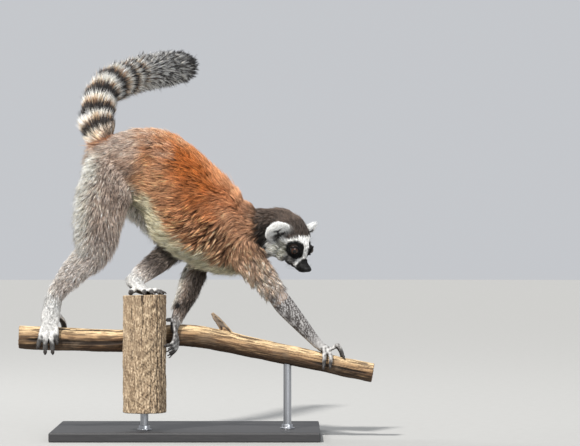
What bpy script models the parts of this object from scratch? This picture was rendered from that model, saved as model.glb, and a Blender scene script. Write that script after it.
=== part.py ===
"""Ring-tailed lemur, life size, walking along a bare pole past a fence post.

The animal faces +X and its right side is towards -Y. The pole and the post are
short cut lengths, held over a flat base by two rods. Z = 0 is the underside of
the base. Sizes below are millimetres and are scaled to metres as meshes are made.
The solids reach out to the tips of the coat.
"""

from math import cos, pi, radians, sin

import bmesh
import bpy
from mathutils import Matrix, Vector

MM = 0.001
GAP = 0.35  # clear space left between touching pieces
BODY_VOXEL = 3.2
HEAD_VOXEL = 1.9
PAW_VOXEL = 1.3
HEAD_TRIANGLES = 740
BODY_TRIANGLES = 1500
LIMB_TRIANGLES = 510

# ---------------------------------------------------------------- driving sizes
# A station is (x, y, z, half size in the plane of the bend, half size across it).
TRUNK = [
    (-146, 0, 409, 14, 13),
    (-141, 0, 411, 27, 24),
    (-124, 0, 413, 43, 37),
    (-93, 0, 410, 57, 48),
    (-57, 0, 403, 65, 52),
    (-23, 0, 377, 66.5, 53),
    (7, 0, 340, 70.5, 54),
    (42, 0, 312, 64, 51),
    (66, 0, 293, 54, 46),
    (85, 0, 279, 39, 36),
    (94, 0, 272, 24, 23),
]
NECK = [
    (52, 0, 322, 40, 36),
    (76, 0, 313, 42, 38),
    (98, 1, 306, 40, 36),
    (119, 3, 312, 34.5, 32),
    (136, 4, 315, 31, 29),
    (148, 4, 312, 28, 25),
]
THIGH_RIGHT = [
    (-110, -18, 402, 38, 24),
    (-122, -28, 374, 43, 27),
    (-130, -31, 345, 40, 27),
    (-135, -31, 315, 36, 24),
    (-137.5, -30, 290, 31, 21),
    (-141, -28, 277, 26, 19),
]
SHANK_RIGHT = [
    (-128, -29, 286, 20, 17),
    (-147, -26, 272, 27, 19),
    (-169, -20, 253, 23, 16.5),
    (-188, -15, 232.5, 17.5, 13.5),
    (-200.5, -12, 215, 14.5, 13),
    (-205, -12, 203, 14, 13),
]
THIGH_LEFT = [
    (-108, 20, 402, 38, 24),
    (-86, 33, 376, 38, 27),
    (-58, 41, 346, 34, 26),
    (-32, 45, 314, 28, 22),
    (-17, 46, 296, 24, 19),
    (-10, 46, 288, 16, 14),
]
SHANK_LEFT = [
    (-12, 44, 294, 18, 15),
    (-26, 33, 281, 22, 18),
    (-46, 16, 264, 21, 17),
    (-64, 1, 250, 18, 15),
    (-77, -7, 241, 16, 14),
    (-84, -9, 236, 14, 13),
]
UPPER_ARM_RIGHT = [
    (66, -16, 306, 34, 20),
    (80, -26, 284, 30, 21),
    (98, -30, 256, 23, 18),
    (116, -30, 233, 20, 16),
    (124, -29, 223, 16, 14),
]
FOREARM_RIGHT = [
    (119, -30, 231, 17, 14),
    (128, -28, 218, 20, 16),
    (142, -24, 199, 19.5, 15),
    (165, -16, 172, 15.5, 12.5),
    (184, -9, 150, 11.5, 10),
    (193, -6, 140, 9.5, 9),
]
UPPER_ARM_LEFT = [
    (66, 16, 306, 34, 20),
    (56, 27, 292, 29, 21),
    (34, 35, 277, 24, 18),
    (18, 38, 266, 20, 16),
    (11, 38, 261, 15, 13),
]
FOREARM_LEFT = [
    (15, 38, 266, 17, 14),
    (7, 31, 248, 20, 15.5),
    (-3, 13, 220, 17, 13.5),
    (-13, -3, 198, 13.5, 11.5),
    (-19, -12, 183, 10.5, 9.5),
    (-21, -14, 177, 9.5, 9),
]
TAIL = [
    (-122, 0, 425, 24, 24),
    (-130, 0, 447, 29, 29),
    (-139, 12, 471, 30, 30),
    (-138, 29, 496, 29, 29),
    (-132, 51, 518, 28, 28),
    (-119, 82, 534, 28, 28),
    (-103, 128, 545, 28, 28),
    (-86, 195, 555, 28, 28),
    (-68, 277, 563, 28.5, 28.5),
    (-50, 362, 571, 28.5, 28.5),
    (-32, 430, 577, 27, 27),
    (-25, 455, 579, 21, 21),
    (-22, 467, 580, 10, 10),
]
TAIL_LENGTHS = 5

# The head has its own axes: forward along the muzzle, left, and up to the crown.
HEAD_CENTRE = Vector((152, -8, 303))
HEAD_PITCH_DOWN = radians(49)
HEAD_TURN_RIGHT = radians(38)
# (forward, up, half height, half width)
SKULL = [
    (-36, 6, 9, 9),
    (-32, 5, 18, 20),
    (-22, 2, 25, 29),
    (-8, 0, 28, 34),
    (7, -2, 27.5, 33.5),
    (19, -5, 24, 28.5),
    (29, -9, 19, 21),
    (37, -12, 13.5, 15),
    (46, -14, 11.5, 12.5),
    (53, -11.5, 8.5, 10.5),
    (58, -9, 5.8, 8.5),
    (62, -7, 3, 5.5),
]
BROW = (20, 14, 5, 8.5)  # forward, to each side, up, radius
CHEEK = (2, 22, -19, 15.5)
EYE = (26.5, 17.5, 1, 8.2)
NOSE_PAD = (60.3, 0, -6.5, 4)
# Along the ear: (forward, side, up, half breadth, half thickness)
EAR = [
    (0, 23, -5.5, 14, 9.5),
    (-1.9, 29, 0, 18.5, 9),
    (-3.8, 35, 5.4, 19.5, 8),
    (-5.8, 41, 10.6, 17.5, 6.5),
    (-7.2, 45.5, 14.8, 12.5, 5),
    (-8.2, 48.5, 17.5, 6, 2.8),
]

# Where the paw is parted from the limb, palm or sole stations as for limbs, and
# its digits, each a run of (x, y, z, radius).
PAWS = {
    "foot_right": {
        "cut": ((-204, -12, 207), (-0.1, -0.05, -1)),
        "sole": [
            (-203, -10, 212, 14, 12),
            (-206, -12, 198, 14.5, 11),
            (-208, -16, 184, 15, 9.5),
            (-209, -20, 172, 14.5, 8),
            (-210, -22, 163, 13, 6.5),
        ],
        "digits": [
            [(-219, -20, 168, 5), (-222, -23, 155, 4.6), (-226, -22, 140, 4.2)],
            [(-213, -21, 166, 5), (-215, -24.5, 150, 4.7), (-215.5, -22, 133, 4.5)],
            [(-206, -21, 166, 5), (-205.5, -24.5, 150, 4.7), (-204.5, -22, 133, 4.5)],
            [(-200, -20, 170, 5), (-199, -23.5, 158, 4.6), (-198, -23, 147, 4.2)],
            [(-198, -8, 184, 6), (-192, 6, 176, 5.2), (-190, 19, 166, 5), (-190, 23, 152, 4.4)],
        ],
    },
    "foot_left": {
        "cut": ((-80, -4, 243), (-0.35, -0.3, -0.88)),
        "sole": [
            (-86, -4, 242, 12, 13),
            (-81, -10, 233, 14, 14),
            (-74, -18, 225, 10, 15),
            (-67, -25, 221, 7, 15),
            (-61, -31, 219, 5, 13),
        ],
        "digits": [
            [(-54, -22, 221, 4.6), (-46, -26, 221, 4.3), (-39, -32, 217.5, 4)],
            [(-56, -28, 221, 4.6), (-49, -35, 222, 4.4), (-43, -43, 217.5, 4)],
            [(-61, -33, 221, 4.6), (-57, -43, 222, 4.4), (-53, -52, 217.5, 4)],
            [(-68, -34, 221, 4.6), (-67, -44, 221.5, 4.3), (-66, -53, 217.5, 4)],
            [(-79, -20, 224, 5.4), (-86, -30, 220.5, 5), (-87, -41, 218, 4.4)],
        ],
    },
    "hand_right": {
        "cut": ((190, -7, 143), (0.7, 0.1, -0.7)),
        "sole": [
            (191, -7, 143, 9, 9),
            (198, -5, 136, 8.5, 10),
            (206, -4, 133, 7, 11.5),
            (212, -4, 132, 5, 11),
        ],
        "digits": [
            [(201, -13, 131, 4.2), (201.5, -19, 121, 3.9), (200, -20, 108, 3.4)],
            [(209, -13, 131, 4.2), (211, -18.5, 120, 3.9), (210, -19.5, 109, 3.4)],
            [(213, -7, 133, 4.2), (221, -9, 140, 3.8), (226, -10, 133, 3.6), (229, -10, 124, 3.4)],
            [(213, 3, 133, 4.2), (220, 6, 137, 3.8), (226, 8, 129, 3.5), (228, 9, 121, 3.3)],
            [(199, 4, 133, 4.6), (200, 14, 127, 4.2), (200, 19, 114, 3.6)],
        ],
    },
    "hand_left": {
        "cut": ((-19, -12, 185), (-0.25, -0.5, -1)),
        "sole": [
            (-20, -13, 182, 9, 8.5),
            (-22, -16, 173, 8.5, 9.5),
            (-23, -20, 165, 7, 10.5),
            (-23, -23, 159, 5.5, 10.5),
        ],
        "digits": [
            [(-22, -30, 161, 4), (-23, -37, 149, 3.8), (-27, -44, 142, 3.5), (-34, -49, 141, 3.2)],
            [(-21, -26, 159, 4), (-20.5, -31, 146, 3.8), (-24, -35, 138, 3.5), (-31, -37, 134, 3.2)],
            [(-20, -21, 158, 4), (-18.5, -24, 143, 3.8), (-22, -27, 133, 3.5), (-30, -29, 128, 3.2)],
            [(-21, -16, 159, 3.8), (-18, -18, 144, 3.6), (-21, -20.5, 133, 3.4), (-29, -22, 125, 3.2)],
            [(-25, -19, 175, 4.4), (-28, -25, 178, 4), (-33, -33, 178, 3.6)],
        ],
    },
}

LOWER_LIMBS = {
    "shank_right": (SHANK_RIGHT, "foot_right"),
    "shank_left": (SHANK_LEFT, "foot_left"),
    "forearm_right": (FOREARM_RIGHT, "hand_right"),
    "forearm_left": (FOREARM_LEFT, "hand_left"),
}

# The pole: (x, y, z, half height, half depth), and the stub of a side twig on it.
POLE = [
    (-256, 0, 151, 17, 17),
    (-210, 0, 149.5, 17.2, 17),
    (-160, 0, 147, 16.8, 17),
    (-110, 0, 146, 17, 17),
    (-67, 0, 149, 16.5, 16.5),
    (-20, 0, 154, 16, 16.5),
    (20, 0, 151, 15.5, 16),
    (80, 0, 139, 15, 15.5),
    (140, 0, 126, 14.8, 15),
    (205, 0, 112.5, 14.2, 14.5),
    (240, 0, 105, 14, 14.5),
    (274, 0, 98, 13.6, 14),
]
POLE_SIDES = 12
TWIG_STUB = [(66, 3, 141, 8), (54, 4, 160, 6.5), (42, 5, 176, 4.5), (33, 6, 187, 2.2)]
POST_CENTRE = (-67, -34)
POST_RADIUS = 31.5
POST_BOTTOM, POST_TOP = 40, 213
POST_SIDES = 18
BASE_SIZE = (400, 300, 14)
BASE_CENTRE = (-5, 45)
BASE_EDGE = 2.0
ROD_RADIUS = 6
ROD_X = 146  # the rod under the pole

# Where the one skin is parted: an outline seen from the side, as (x, z), and a stretch of y.
PARTINGS = {
    "thigh_right": ([(-190, 404), (-86, 370), (-94, 330), (-100, 230), (-190, 230)], (-95, -1)),
    "thigh_left": ([(-126, 370), (-74, 406), (-28, 374), (6, 318), (12, 250), (-60, 250)], (14, 95)),
    "upper_arm_right": ([(58, 228), (66, 274), (94, 299), (124, 286), (170, 190), (90, 190)], (-95, -6)),
    "upper_arm_left": ([(72, 244), (62, 296), (22, 308), (-20, 280), (-10, 225), (50, 225)], (14, 95)),
}
NECK_CUT = ((104, 2, 304), (0.93, 0.1, 0.36))  # a point of the plane, and its direction
WAIST_CUT = ((0, 0, 345), (0.62, 0, -0.78))


# ---------------------------------------------------------------- mesh helpers
def clear_scene():
    """Removes whatever the file holds at the start."""
    for old in list(bpy.data.objects):
        bpy.data.objects.remove(old)


def catmull(values, u):
    """The smooth curve through a list of equal-length tuples, at u from 0 to 1."""
    spans = len(values) - 1
    i = min(int(u * spans), spans - 1)
    t = u * spans - i
    a, b = values[max(i - 1, 0)], values[i]
    c, d = values[i + 1], values[min(i + 2, spans)]
    return tuple(
        0.5 * (2 * q + (r - p) * t + (2 * p - 5 * q + 4 * r - s) * t * t + (3 * q - p - 3 * r + s) * t**3)
        for p, q, r, s in zip(a, b, c, d)
    )


def ring_axes(along, across):
    """Two unit vectors at right angles to a path: one in its bend, one across it."""
    side = (across - across.dot(along) * along).normalized()
    return side.cross(along).normalized(), side


def add_loft(bm, stations, sides=14, steps=3, across=Vector((0, 1, 0)), shape=None):
    """Adds a closed skin through the stations to a bmesh. shape scales a ring by angle and place."""
    count = (len(stations) - 1) * steps
    rings = []
    for k in range(count + 1):
        u = k / count
        x, y, z, a, b = catmull(stations, u)
        before = Vector(catmull(stations, max(u - 0.01, 0))[:3])
        after = Vector(catmull(stations, min(u + 0.01, 1))[:3])
        bend, side = ring_axes((after - before).normalized(), across)
        ring = []
        for j in range(sides):
            turn = 2 * pi * j / sides
            swell = shape(turn, u) if shape else 1.0
            point = Vector((x, y, z)) + swell * (a * cos(turn) * bend + b * sin(turn) * side)
            ring.append(bm.verts.new(point * MM))
        rings.append(ring)
    for low, high in zip(rings, rings[1:]):
        for j in range(sides):
            k = (j + 1) % sides
            bm.faces.new((low[j], low[k], high[k], high[j]))
    bm.faces.new(rings[0][::-1])
    bm.faces.new(rings[-1])


def add_ball(bm, centre, radius, segments=16, rings=10):
    """Adds a closed ball to a bmesh."""
    place = Matrix.Translation(Vector(centre) * MM)
    bmesh.ops.create_uvsphere(bm, u_segments=segments, v_segments=rings, radius=radius * MM, matrix=place)


def add_digit(bm, points, sides=8):
    """Adds a finger or toe: a round tube through (x, y, z, radius) with a ball at each end."""
    add_loft(bm, [(*p, p[-1]) for p in points], sides=sides, across=Vector((0.3, 0.9, 0.3)))
    for x, y, z, radius in (points[0], points[-1]):
        add_ball(bm, (x, y, z), radius, 8, 6)


def object_from(bm, name):
    """A scene object from a bmesh, with its faces turned outwards."""
    bm.normal_update()
    bmesh.ops.recalc_face_normals(bm, faces=bm.faces)
    mesh = bpy.data.meshes.new(name)
    bm.to_mesh(mesh)
    bm.free()
    made = bpy.data.objects.new(name, mesh)
    bpy.context.scene.collection.objects.link(made)
    return made


def bake_modifiers(obj):
    """Turns the object into the mesh that its modifiers make."""
    graph = bpy.context.evaluated_depsgraph_get()
    mesh = bpy.data.meshes.new_from_object(obj.evaluated_get(graph))
    obj.modifiers.clear()
    obj.data = mesh
    return obj


def fuse(obj, voxel, smoothing, triangles):
    """Melts overlapping shells into one skin, smooths it and thins it to about this many triangles."""
    remesh = obj.modifiers.new("Fuse", "REMESH")
    remesh.mode = "VOXEL"
    remesh.voxel_size = voxel * MM
    smooth = obj.modifiers.new("Smooth", "SMOOTH")
    smooth.factor = 0.5
    smooth.iterations = smoothing
    bake_modifiers(obj)
    thin = obj.modifiers.new("Thin", "DECIMATE")
    thin.ratio = triangles / (2 * len(obj.data.polygons))
    thin.use_collapse_triangulate = True
    return bake_modifiers(obj)


def swollen(obj):
    """A hidden copy, larger all round by the gap, to cut a neighbour with."""
    copy = bpy.data.objects.new(obj.name + "_room", obj.data.copy())
    bpy.context.scene.collection.objects.link(copy)
    for vertex in copy.data.vertices:
        vertex.co += vertex.normal * GAP * MM
    return hide(copy)


def hide(obj):
    """Marks a cutter, so that it is no part of the model."""
    obj.hide_render = True
    obj.display_type = "WIRE"
    return obj


def boolean(obj, cutter, operation):
    """Applies an exact Boolean."""
    cut = obj.modifiers.new("Cut", "BOOLEAN")
    cut.object = cutter
    cut.operation = operation
    cut.solver = "EXACT"
    cut.use_self = True
    return bake_modifiers(obj)


def keep_largest(obj):
    """Drops the crumbs that a cut can leave beside the piece."""
    bm = bmesh.new()
    bm.from_mesh(obj.data)
    left, islands = set(bm.verts), []
    while left:
        island, front = set(), [left.pop()]
        while front:
            vertex = front.pop()
            island.add(vertex)
            for edge in vertex.link_edges:
                other = edge.other_vert(vertex)
                if other in left:
                    left.discard(other)
                    front.append(other)
        islands.append(island)
    islands.sort(key=len, reverse=True)
    for crumb in islands[1:]:
        bmesh.ops.delete(bm, geom=list(crumb), context="VERTS")
    bm.to_mesh(obj.data)
    bm.free()
    return obj


def make_room(obj, *neighbours):
    """Cuts each neighbour's space, with the gap, out of the object."""
    for neighbour in neighbours:
        boolean(obj, swollen(neighbour), "DIFFERENCE")
    return keep_largest(obj)


def parting_block(outline, reach, grow=0.0):
    """A cutter: a side outline in (x, z) carried through a stretch of y, and grown all round."""
    middle = sum((Vector(corner) for corner in outline), Vector((0, 0))) / len(outline)
    bm = bmesh.new()
    near = []
    for corner in outline:
        x, z = Vector(corner) + (Vector(corner) - middle).normalized() * grow * 1.4
        near.append(bm.verts.new(Vector((x, reach[0] - grow, z)) * MM))
    face = bm.faces.new(near)
    through = bmesh.ops.extrude_face_region(bm, geom=[face])
    far = [v for v in through["geom"] if isinstance(v, bmesh.types.BMVert)]
    bmesh.ops.translate(bm, verts=far, vec=Vector((0, reach[1] - reach[0] + 2 * grow, 0)) * MM)
    return hide(object_from(bm, "parting_block"))


def part_off(whole, name, outline, reach):
    """Takes what lies in a block off the whole, with the gap between, and returns it as a named piece."""
    piece = bpy.data.objects.new(name, whole.data.copy())
    bpy.context.scene.collection.objects.link(piece)
    boolean(piece, parting_block(outline, reach), "INTERSECT")
    boolean(whole, parting_block(outline, reach, GAP), "DIFFERENCE")
    keep_largest(whole)
    return keep_largest(piece)


def split(obj, name, point, normal):
    """Cuts a piece in two by a plane, with the gap between; the far side becomes the named object."""
    far = bpy.data.objects.new(name, obj.data.copy())
    bpy.context.scene.collection.objects.link(far)
    normal = Vector(normal).normalized()
    for half, shift, facing in ((obj, -GAP / 2, 1), (far, GAP / 2, -1)):
        bm = bmesh.new()
        bm.from_mesh(half.data)
        cut = bmesh.ops.bisect_plane(
            bm,
            geom=bm.verts[:] + bm.edges[:] + bm.faces[:],
            plane_co=(Vector(point) + normal * shift) * MM,
            plane_no=normal * facing,
            clear_outer=True,
        )
        edges = [e for e in cut["geom_cut"] if isinstance(e, bmesh.types.BMEdge)]
        filled = bmesh.ops.holes_fill(bm, edges=edges, sides=0)
        bmesh.ops.triangulate(bm, faces=filled["faces"])
        bmesh.ops.recalc_face_normals(bm, faces=bm.faces)
        bm.to_mesh(half.data)
        bm.free()
    return far


def path_at(stations, u):
    """Point and direction on the middle line of a loft."""
    here = Vector(catmull(stations, u)[:3])
    ahead = Vector(catmull(stations, min(u + 0.01, 1))[:3])
    behind = Vector(catmull(stations, max(u - 0.01, 0))[:3])
    return here, (ahead - behind).normalized()


# ---------------------------------------------------------------- finishes
def material(name, colour, roughness):
    """A plain Principled material."""
    made = bpy.data.materials.new(name)
    made.use_nodes = True
    shader = made.node_tree.nodes["Principled BSDF"]
    shader.inputs["Base Color"].default_value = (*colour, 1)
    shader.inputs["Roughness"].default_value = roughness
    shader.inputs["Metallic"].default_value = 1.0 if name == "steel" else 0.0
    return made


def dress(obj, finish):
    """Gives the object its one material."""
    obj.data.materials.clear()
    obj.data.materials.append(finish)
    for face in obj.data.polygons:
        face.use_smooth = True
    obj.data.set_sharp_from_angle(angle=radians(40))


# ---------------------------------------------------------------- sub-assemblies
def head_matrix():
    """Head axes (forward, left, up) to the model's axes."""
    pitch = Matrix.Rotation(HEAD_PITCH_DOWN, 3, "Y")
    turn = Matrix.Rotation(-HEAD_TURN_RIGHT, 3, "Z")
    return turn @ pitch


def on_head(point):
    """A point in head axes, placed in the model."""
    return HEAD_CENTRE + head_matrix() @ Vector(point)


def build_head():
    """Skull, brows, cheeks and muzzle as one piece with two eye sockets."""
    axes = head_matrix()
    bm = bmesh.new()
    skull = [(*on_head((f, 0, u)), height, width) for f, u, height, width in SKULL]
    add_loft(bm, skull, sides=20, across=axes.col[1])
    for forward, side, up, radius in (BROW, CHEEK):
        for hand in (-1, 1):
            add_ball(bm, on_head((forward, hand * side, up)), radius)
    add_ball(bm, on_head(NOSE_PAD[:3]), NOSE_PAD[3])
    return fuse(object_from(bm, "head"), HEAD_VOXEL, 3, HEAD_TRIANGLES)


def build_eye(name, hand):
    """One eyeball."""
    forward, side, up, radius = EYE
    bm = bmesh.new()
    add_ball(bm, on_head((forward, hand * side, up)), radius, 12, 8)
    return object_from(bm, name)


def build_ear(name, hand):
    """One ear with its fringe, a cupped leaf standing out from the head."""
    bm = bmesh.new()
    leaf = [(*on_head((f, hand * s, u)), breadth, thick) for f, s, u, breadth, thick in EAR]
    flat = head_matrix() @ Vector((0.943, hand * 0.334, -0.02))
    add_loft(bm, leaf, sides=10, steps=2, across=flat)
    return object_from(bm, name)


def build_body():
    """Trunk, neck, thighs and upper arms as one skin."""
    bm = bmesh.new()
    add_loft(bm, TRUNK, sides=28)
    add_loft(bm, NECK, sides=24)
    for limb in (THIGH_RIGHT, THIGH_LEFT, UPPER_ARM_RIGHT, UPPER_ARM_LEFT):
        add_loft(bm, limb, sides=20)
        add_ball(bm, limb[-1][:3], limb[-1][4])
    return fuse(object_from(bm, "rump"), BODY_VOXEL, 6, BODY_TRIANGLES)


def build_limb(name, stations, paw_name):
    """A lower limb with its hand or foot and five digits, as one skin."""
    bm = bmesh.new()
    add_loft(bm, stations, sides=14, steps=2)
    add_ball(bm, stations[0][:3], stations[0][4])
    add_loft(bm, PAWS[paw_name]["sole"], sides=14)
    for digit in PAWS[paw_name]["digits"]:
        add_digit(bm, digit)
    return fuse(object_from(bm, name), PAW_VOXEL, 3, LIMB_TRIANGLES)


def build_tail():
    """The tail's lengths from root to tip."""
    bm = bmesh.new()
    add_loft(bm, TAIL, sides=12, steps=2, across=Vector((1, 0, 0)))
    root = object_from(bm, "tail_1")
    lengths = [root]
    for k in range(1, TAIL_LENGTHS):
        share = 0.16 + 0.84 * k / TAIL_LENGTHS
        lengths.append(split(lengths[-1], f"tail_{k + 1}", *path_at(TAIL, share)))
    return lengths


def bark(turn, u):
    """The post's weathered, slightly fluted round."""
    return 1 + 0.012 * sin(3 * turn + 1.0) + 0.010 * sin(7 * turn + 9 * u)


def knots(turn, u):
    """The pole's gentle swellings."""
    return 1 + 0.02 * sin(2 * turn + 14 * u) + 0.015 * sin(23 * u + turn)


def build_pole():
    """The bare pole with a twig stub."""
    bm = bmesh.new()
    add_loft(bm, POLE, sides=POLE_SIDES, steps=1, shape=knots)
    pole = object_from(bm, "perch_pole")
    bm = bmesh.new()
    add_loft(bm, [(*p, p[-1]) for p in TWIG_STUB], sides=8, steps=2)
    return boolean(pole, hide(object_from(bm, "twig_stub")), "UNION")


def build_post(pole):
    """The post, notched at the back where the pole runs through it, with a sawn, slanting top."""
    x, y = POST_CENTRE
    heights = (POST_BOTTOM, 80, 120, 160, POST_TOP + 6)
    bm = bmesh.new()
    add_loft(bm, [(x, y, z, POST_RADIUS, POST_RADIUS) for z in heights], sides=POST_SIDES, steps=1, shape=bark)
    post = object_from(bm, "perch_post")
    offcut = split(post, "post_offcut", (x, y, POST_TOP), (-0.02, 0.02, 1))
    bpy.data.objects.remove(offcut)
    return make_room(post, pole)


def build_stand(pole):
    """A flat base and two rods, one up to the post and one up to the pole."""
    bm = bmesh.new()
    bmesh.ops.create_cube(bm, size=1.0)
    width, depth, thick = BASE_SIZE
    place = Matrix.Translation(Vector((*BASE_CENTRE, thick / 2)) * MM)
    bm.transform(place @ Matrix.Diagonal((width * MM, depth * MM, thick * MM, 1)))
    base = object_from(bm, "stand_base")
    bevel = base.modifiers.new("Edges", "BEVEL")
    bevel.width = BASE_EDGE * MM
    bevel.segments = 2
    rods = []
    tops = {"stand_rod_post": (*POST_CENTRE, POST_BOTTOM - GAP), "stand_rod_pole": (ROD_X, 0, 122)}
    for name, (x, y, top) in tops.items():
        low = thick + GAP
        bm = bmesh.new()
        place = Matrix.Translation(Vector((x, y, (low + top) / 2)) * MM)
        bmesh.ops.create_cone(
            bm, cap_ends=True, segments=20, radius1=ROD_RADIUS * MM, radius2=ROD_RADIUS * MM,
            depth=(top - low) * MM, matrix=place,
        )
        rods.append(object_from(bm, name))
    make_room(rods[1], pole)
    return [base, *rods]


def part_body(body):
    """Parts the one skin into neck, chest, rump, thighs and upper arms."""
    pieces = [part_off(body, name, *block) for name, block in PARTINGS.items()]
    chest = split(body, "chest", *WAIST_CUT)
    neck = split(chest, "neck", *NECK_CUT)
    return [body, chest, neck, *pieces]


def main():
    """Builds every piece, gives each its finish and removes the cutters."""
    clear_scene()
    pole = build_pole()
    post = build_post(pole)
    stand = build_stand(pole)
    head = build_head()
    eyes = [build_eye("eye_right", -1), build_eye("eye_left", 1)]
    make_room(head, *eyes)
    ears = [make_room(build_ear("ear_right", -1), head), make_room(build_ear("ear_left", 1), head)]
    body = build_body()
    make_room(body, head, *ears)
    tail = build_tail()
    make_room(tail[0], body)
    limbs = []
    for name, (stations, paw_name) in LOWER_LIMBS.items():
        lower = make_room(build_limb(name, stations, paw_name), body, pole, post)
        limbs += [lower, split(lower, paw_name, *PAWS[paw_name]["cut"])]
    flesh = [head, *ears, *tail, *part_body(body), *limbs]

    coat = material("coat", (0.42, 0.36, 0.31), 0.9)
    wood = material("bare_wood", (0.48, 0.37, 0.25), 0.8)
    amber = material("eye", (0.45, 0.20, 0.05), 0.1)
    board = material("stand_board", (0.10, 0.10, 0.11), 0.6)
    steel = material("steel", (0.55, 0.56, 0.58), 0.35)
    for pieces, finish in ((flesh, coat), (eyes, amber), ((pole, post), wood), (stand[:1], board), (stand[1:], steel)):
        for piece in pieces:
            dress(piece, finish)
    for helper in [o for o in bpy.data.objects if o.hide_render]:
        bpy.data.objects.remove(helper)


main()
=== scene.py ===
"""Dresses the life-size ring-tailed lemur that walks along a bare pole past a fence post.

One skin is lofted from the same driving sizes as the solids, less the depth of the coat, and melted
into a single surface. A coat of thin closed tufts is sown over it and combed the way the hair lies.
Skin and coat take their colours from the same markings. Lengths are millimetres until a mesh is made;
the animal faces +X, its right side is towards -Y and Z = 0 is the underside of the stand.
"""

from __future__ import annotations

import logging
import math
from collections.abc import Callable, Sequence
from dataclasses import dataclass
from enum import Enum

import bpy
import numpy as np
from mathutils import Matrix, Vector
from mathutils.kdtree import KDTree

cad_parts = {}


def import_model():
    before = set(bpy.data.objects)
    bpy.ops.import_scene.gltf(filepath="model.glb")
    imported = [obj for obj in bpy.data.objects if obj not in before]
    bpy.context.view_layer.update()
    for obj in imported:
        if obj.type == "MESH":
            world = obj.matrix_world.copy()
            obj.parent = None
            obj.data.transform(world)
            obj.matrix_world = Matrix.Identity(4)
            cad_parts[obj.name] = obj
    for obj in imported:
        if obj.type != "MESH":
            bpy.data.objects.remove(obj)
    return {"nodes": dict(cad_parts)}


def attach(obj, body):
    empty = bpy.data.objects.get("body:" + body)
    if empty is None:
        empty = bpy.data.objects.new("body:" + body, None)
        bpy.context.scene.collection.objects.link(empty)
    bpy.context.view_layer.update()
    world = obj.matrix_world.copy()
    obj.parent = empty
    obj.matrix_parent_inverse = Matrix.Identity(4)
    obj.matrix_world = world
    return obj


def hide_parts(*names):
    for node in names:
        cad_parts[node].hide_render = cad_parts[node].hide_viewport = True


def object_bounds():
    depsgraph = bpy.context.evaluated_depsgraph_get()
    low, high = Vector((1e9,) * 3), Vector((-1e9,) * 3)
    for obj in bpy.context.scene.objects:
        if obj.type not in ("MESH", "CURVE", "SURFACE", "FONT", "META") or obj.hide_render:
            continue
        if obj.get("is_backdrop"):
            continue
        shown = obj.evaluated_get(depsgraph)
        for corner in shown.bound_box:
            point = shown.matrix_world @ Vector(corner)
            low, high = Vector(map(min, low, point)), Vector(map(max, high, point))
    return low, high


log = logging.getLogger("lemur")

Rows = np.ndarray
Measures = dict[str, np.ndarray]
Piece = bpy.types.Object
Finish = bpy.types.Material
Triple = tuple[float, float, float]
Shade = tuple[int, int, int]

MM = 0.001
COLOUR_LAYER = "coat_colour"
BAKE_MAP = "OFBake"
DOWN = np.array([0.0, 0.0, -1.0])
FAR_TAIL = (200, 290)
# Painted shade: the skin is coloured as the markings darkened by this factor, for the shade under the coat.
SKIN_UNDER_COAT_SHADE = 0.8
NOTCH_GAP = 0.35
OTHER = {"right": "left", "left": "right"}


# -------- numbers and colours
def linear(red: float, green: float, blue: float) -> Rows:
    """Turns a display colour of 0 to 255 into a linear one of 0 to 1."""
    share = np.array([red, green, blue], dtype=float) / 255
    return np.where(share <= 0.04045, share / 12.92, ((share + 0.055) / 1.055) ** 2.4)


def rise(value: Rows, low: float, high: float) -> Rows:
    """Smooth step from 0 at low to 1 at high; low may be the larger."""
    share = np.clip((value - low) / (high - low), 0.0, 1.0)
    return share * share * (3 - 2 * share)


def over(ground: Rows, paint: Rows, share: Rows) -> Rows:
    """Lays a colour over others by a share for each row."""
    return ground + (paint - ground) * share[:, None]


def layered(ground: Rows | Shade, *layers: tuple[Rows | Shade, Rows]) -> Rows:
    """Lays colours over a ground, one after the other, each by its share.

    Args:
        ground: One colour, or one for each row. A tuple is a display colour.
        layers: Each a colour and its share for each row.

    Returns:
        One linear colour for each row.
    """
    laid = linear(*ground) if isinstance(ground, tuple) else ground
    for colour, share in layers:
        laid = over(laid, linear(*colour) if isinstance(colour, tuple) else colour, share)
    return laid


def unit(rows: Rows) -> Rows:
    """Rows scaled to length 1."""
    return rows / np.maximum(np.linalg.norm(rows, axis=-1, keepdims=True), 1e-9)


def norms(rows: Rows) -> Rows:
    """The length of each row."""
    return np.linalg.norm(rows, axis=1)


def smooth_run(rows: Rows, u: Rows) -> Rows:
    """Reads the smooth curve through a list of rows.

    Args:
        rows: The rows that the curve passes through.
        u: Places on the curve, from 0 to 1.

    Returns:
        One row for each place.
    """
    spans = len(rows) - 1
    i = np.minimum((u * spans).astype(int), spans - 1)
    t = (u * spans - i)[:, None]
    p, q = rows[np.maximum(i - 1, 0)], rows[i]
    r, s = rows[i + 1], rows[np.minimum(i + 2, spans)]
    return 0.5 * (2 * q + (r - p) * t + (2 * p - 5 * q + 4 * r - s) * t**2 + (3 * q - p - 3 * r + s) * t**3)


@dataclass(frozen=True)
class Drift:
    """A smooth, seeded unevenness of about -1 to 1, for ragged edges and patchy tones."""

    swing: float
    seed: int

    def at(self, points: Rows) -> Rows:
        """Value at each point, in millimetres.

        Args:
            points: Places in millimetres.

        Returns:
            One value for each place.
        """
        rng = np.random.default_rng(self.seed)
        total = np.zeros(len(points))
        for _ in range(7):
            wave = unit(rng.normal(size=3)) * 2 * math.pi / (self.swing * rng.uniform(0.6, 1.5))
            total += np.sin(points @ wave + rng.uniform(0, 2 * math.pi))
        return total * 0.35


EDGE, FINE, PATCHY, STREAK = Drift(26.0, 11), Drift(7.0, 12), Drift(60.0, 13), Drift(5.0, 14)
FLECK, SPECKLE = Drift(4.2, 15), Drift(2.6, 21)


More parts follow.
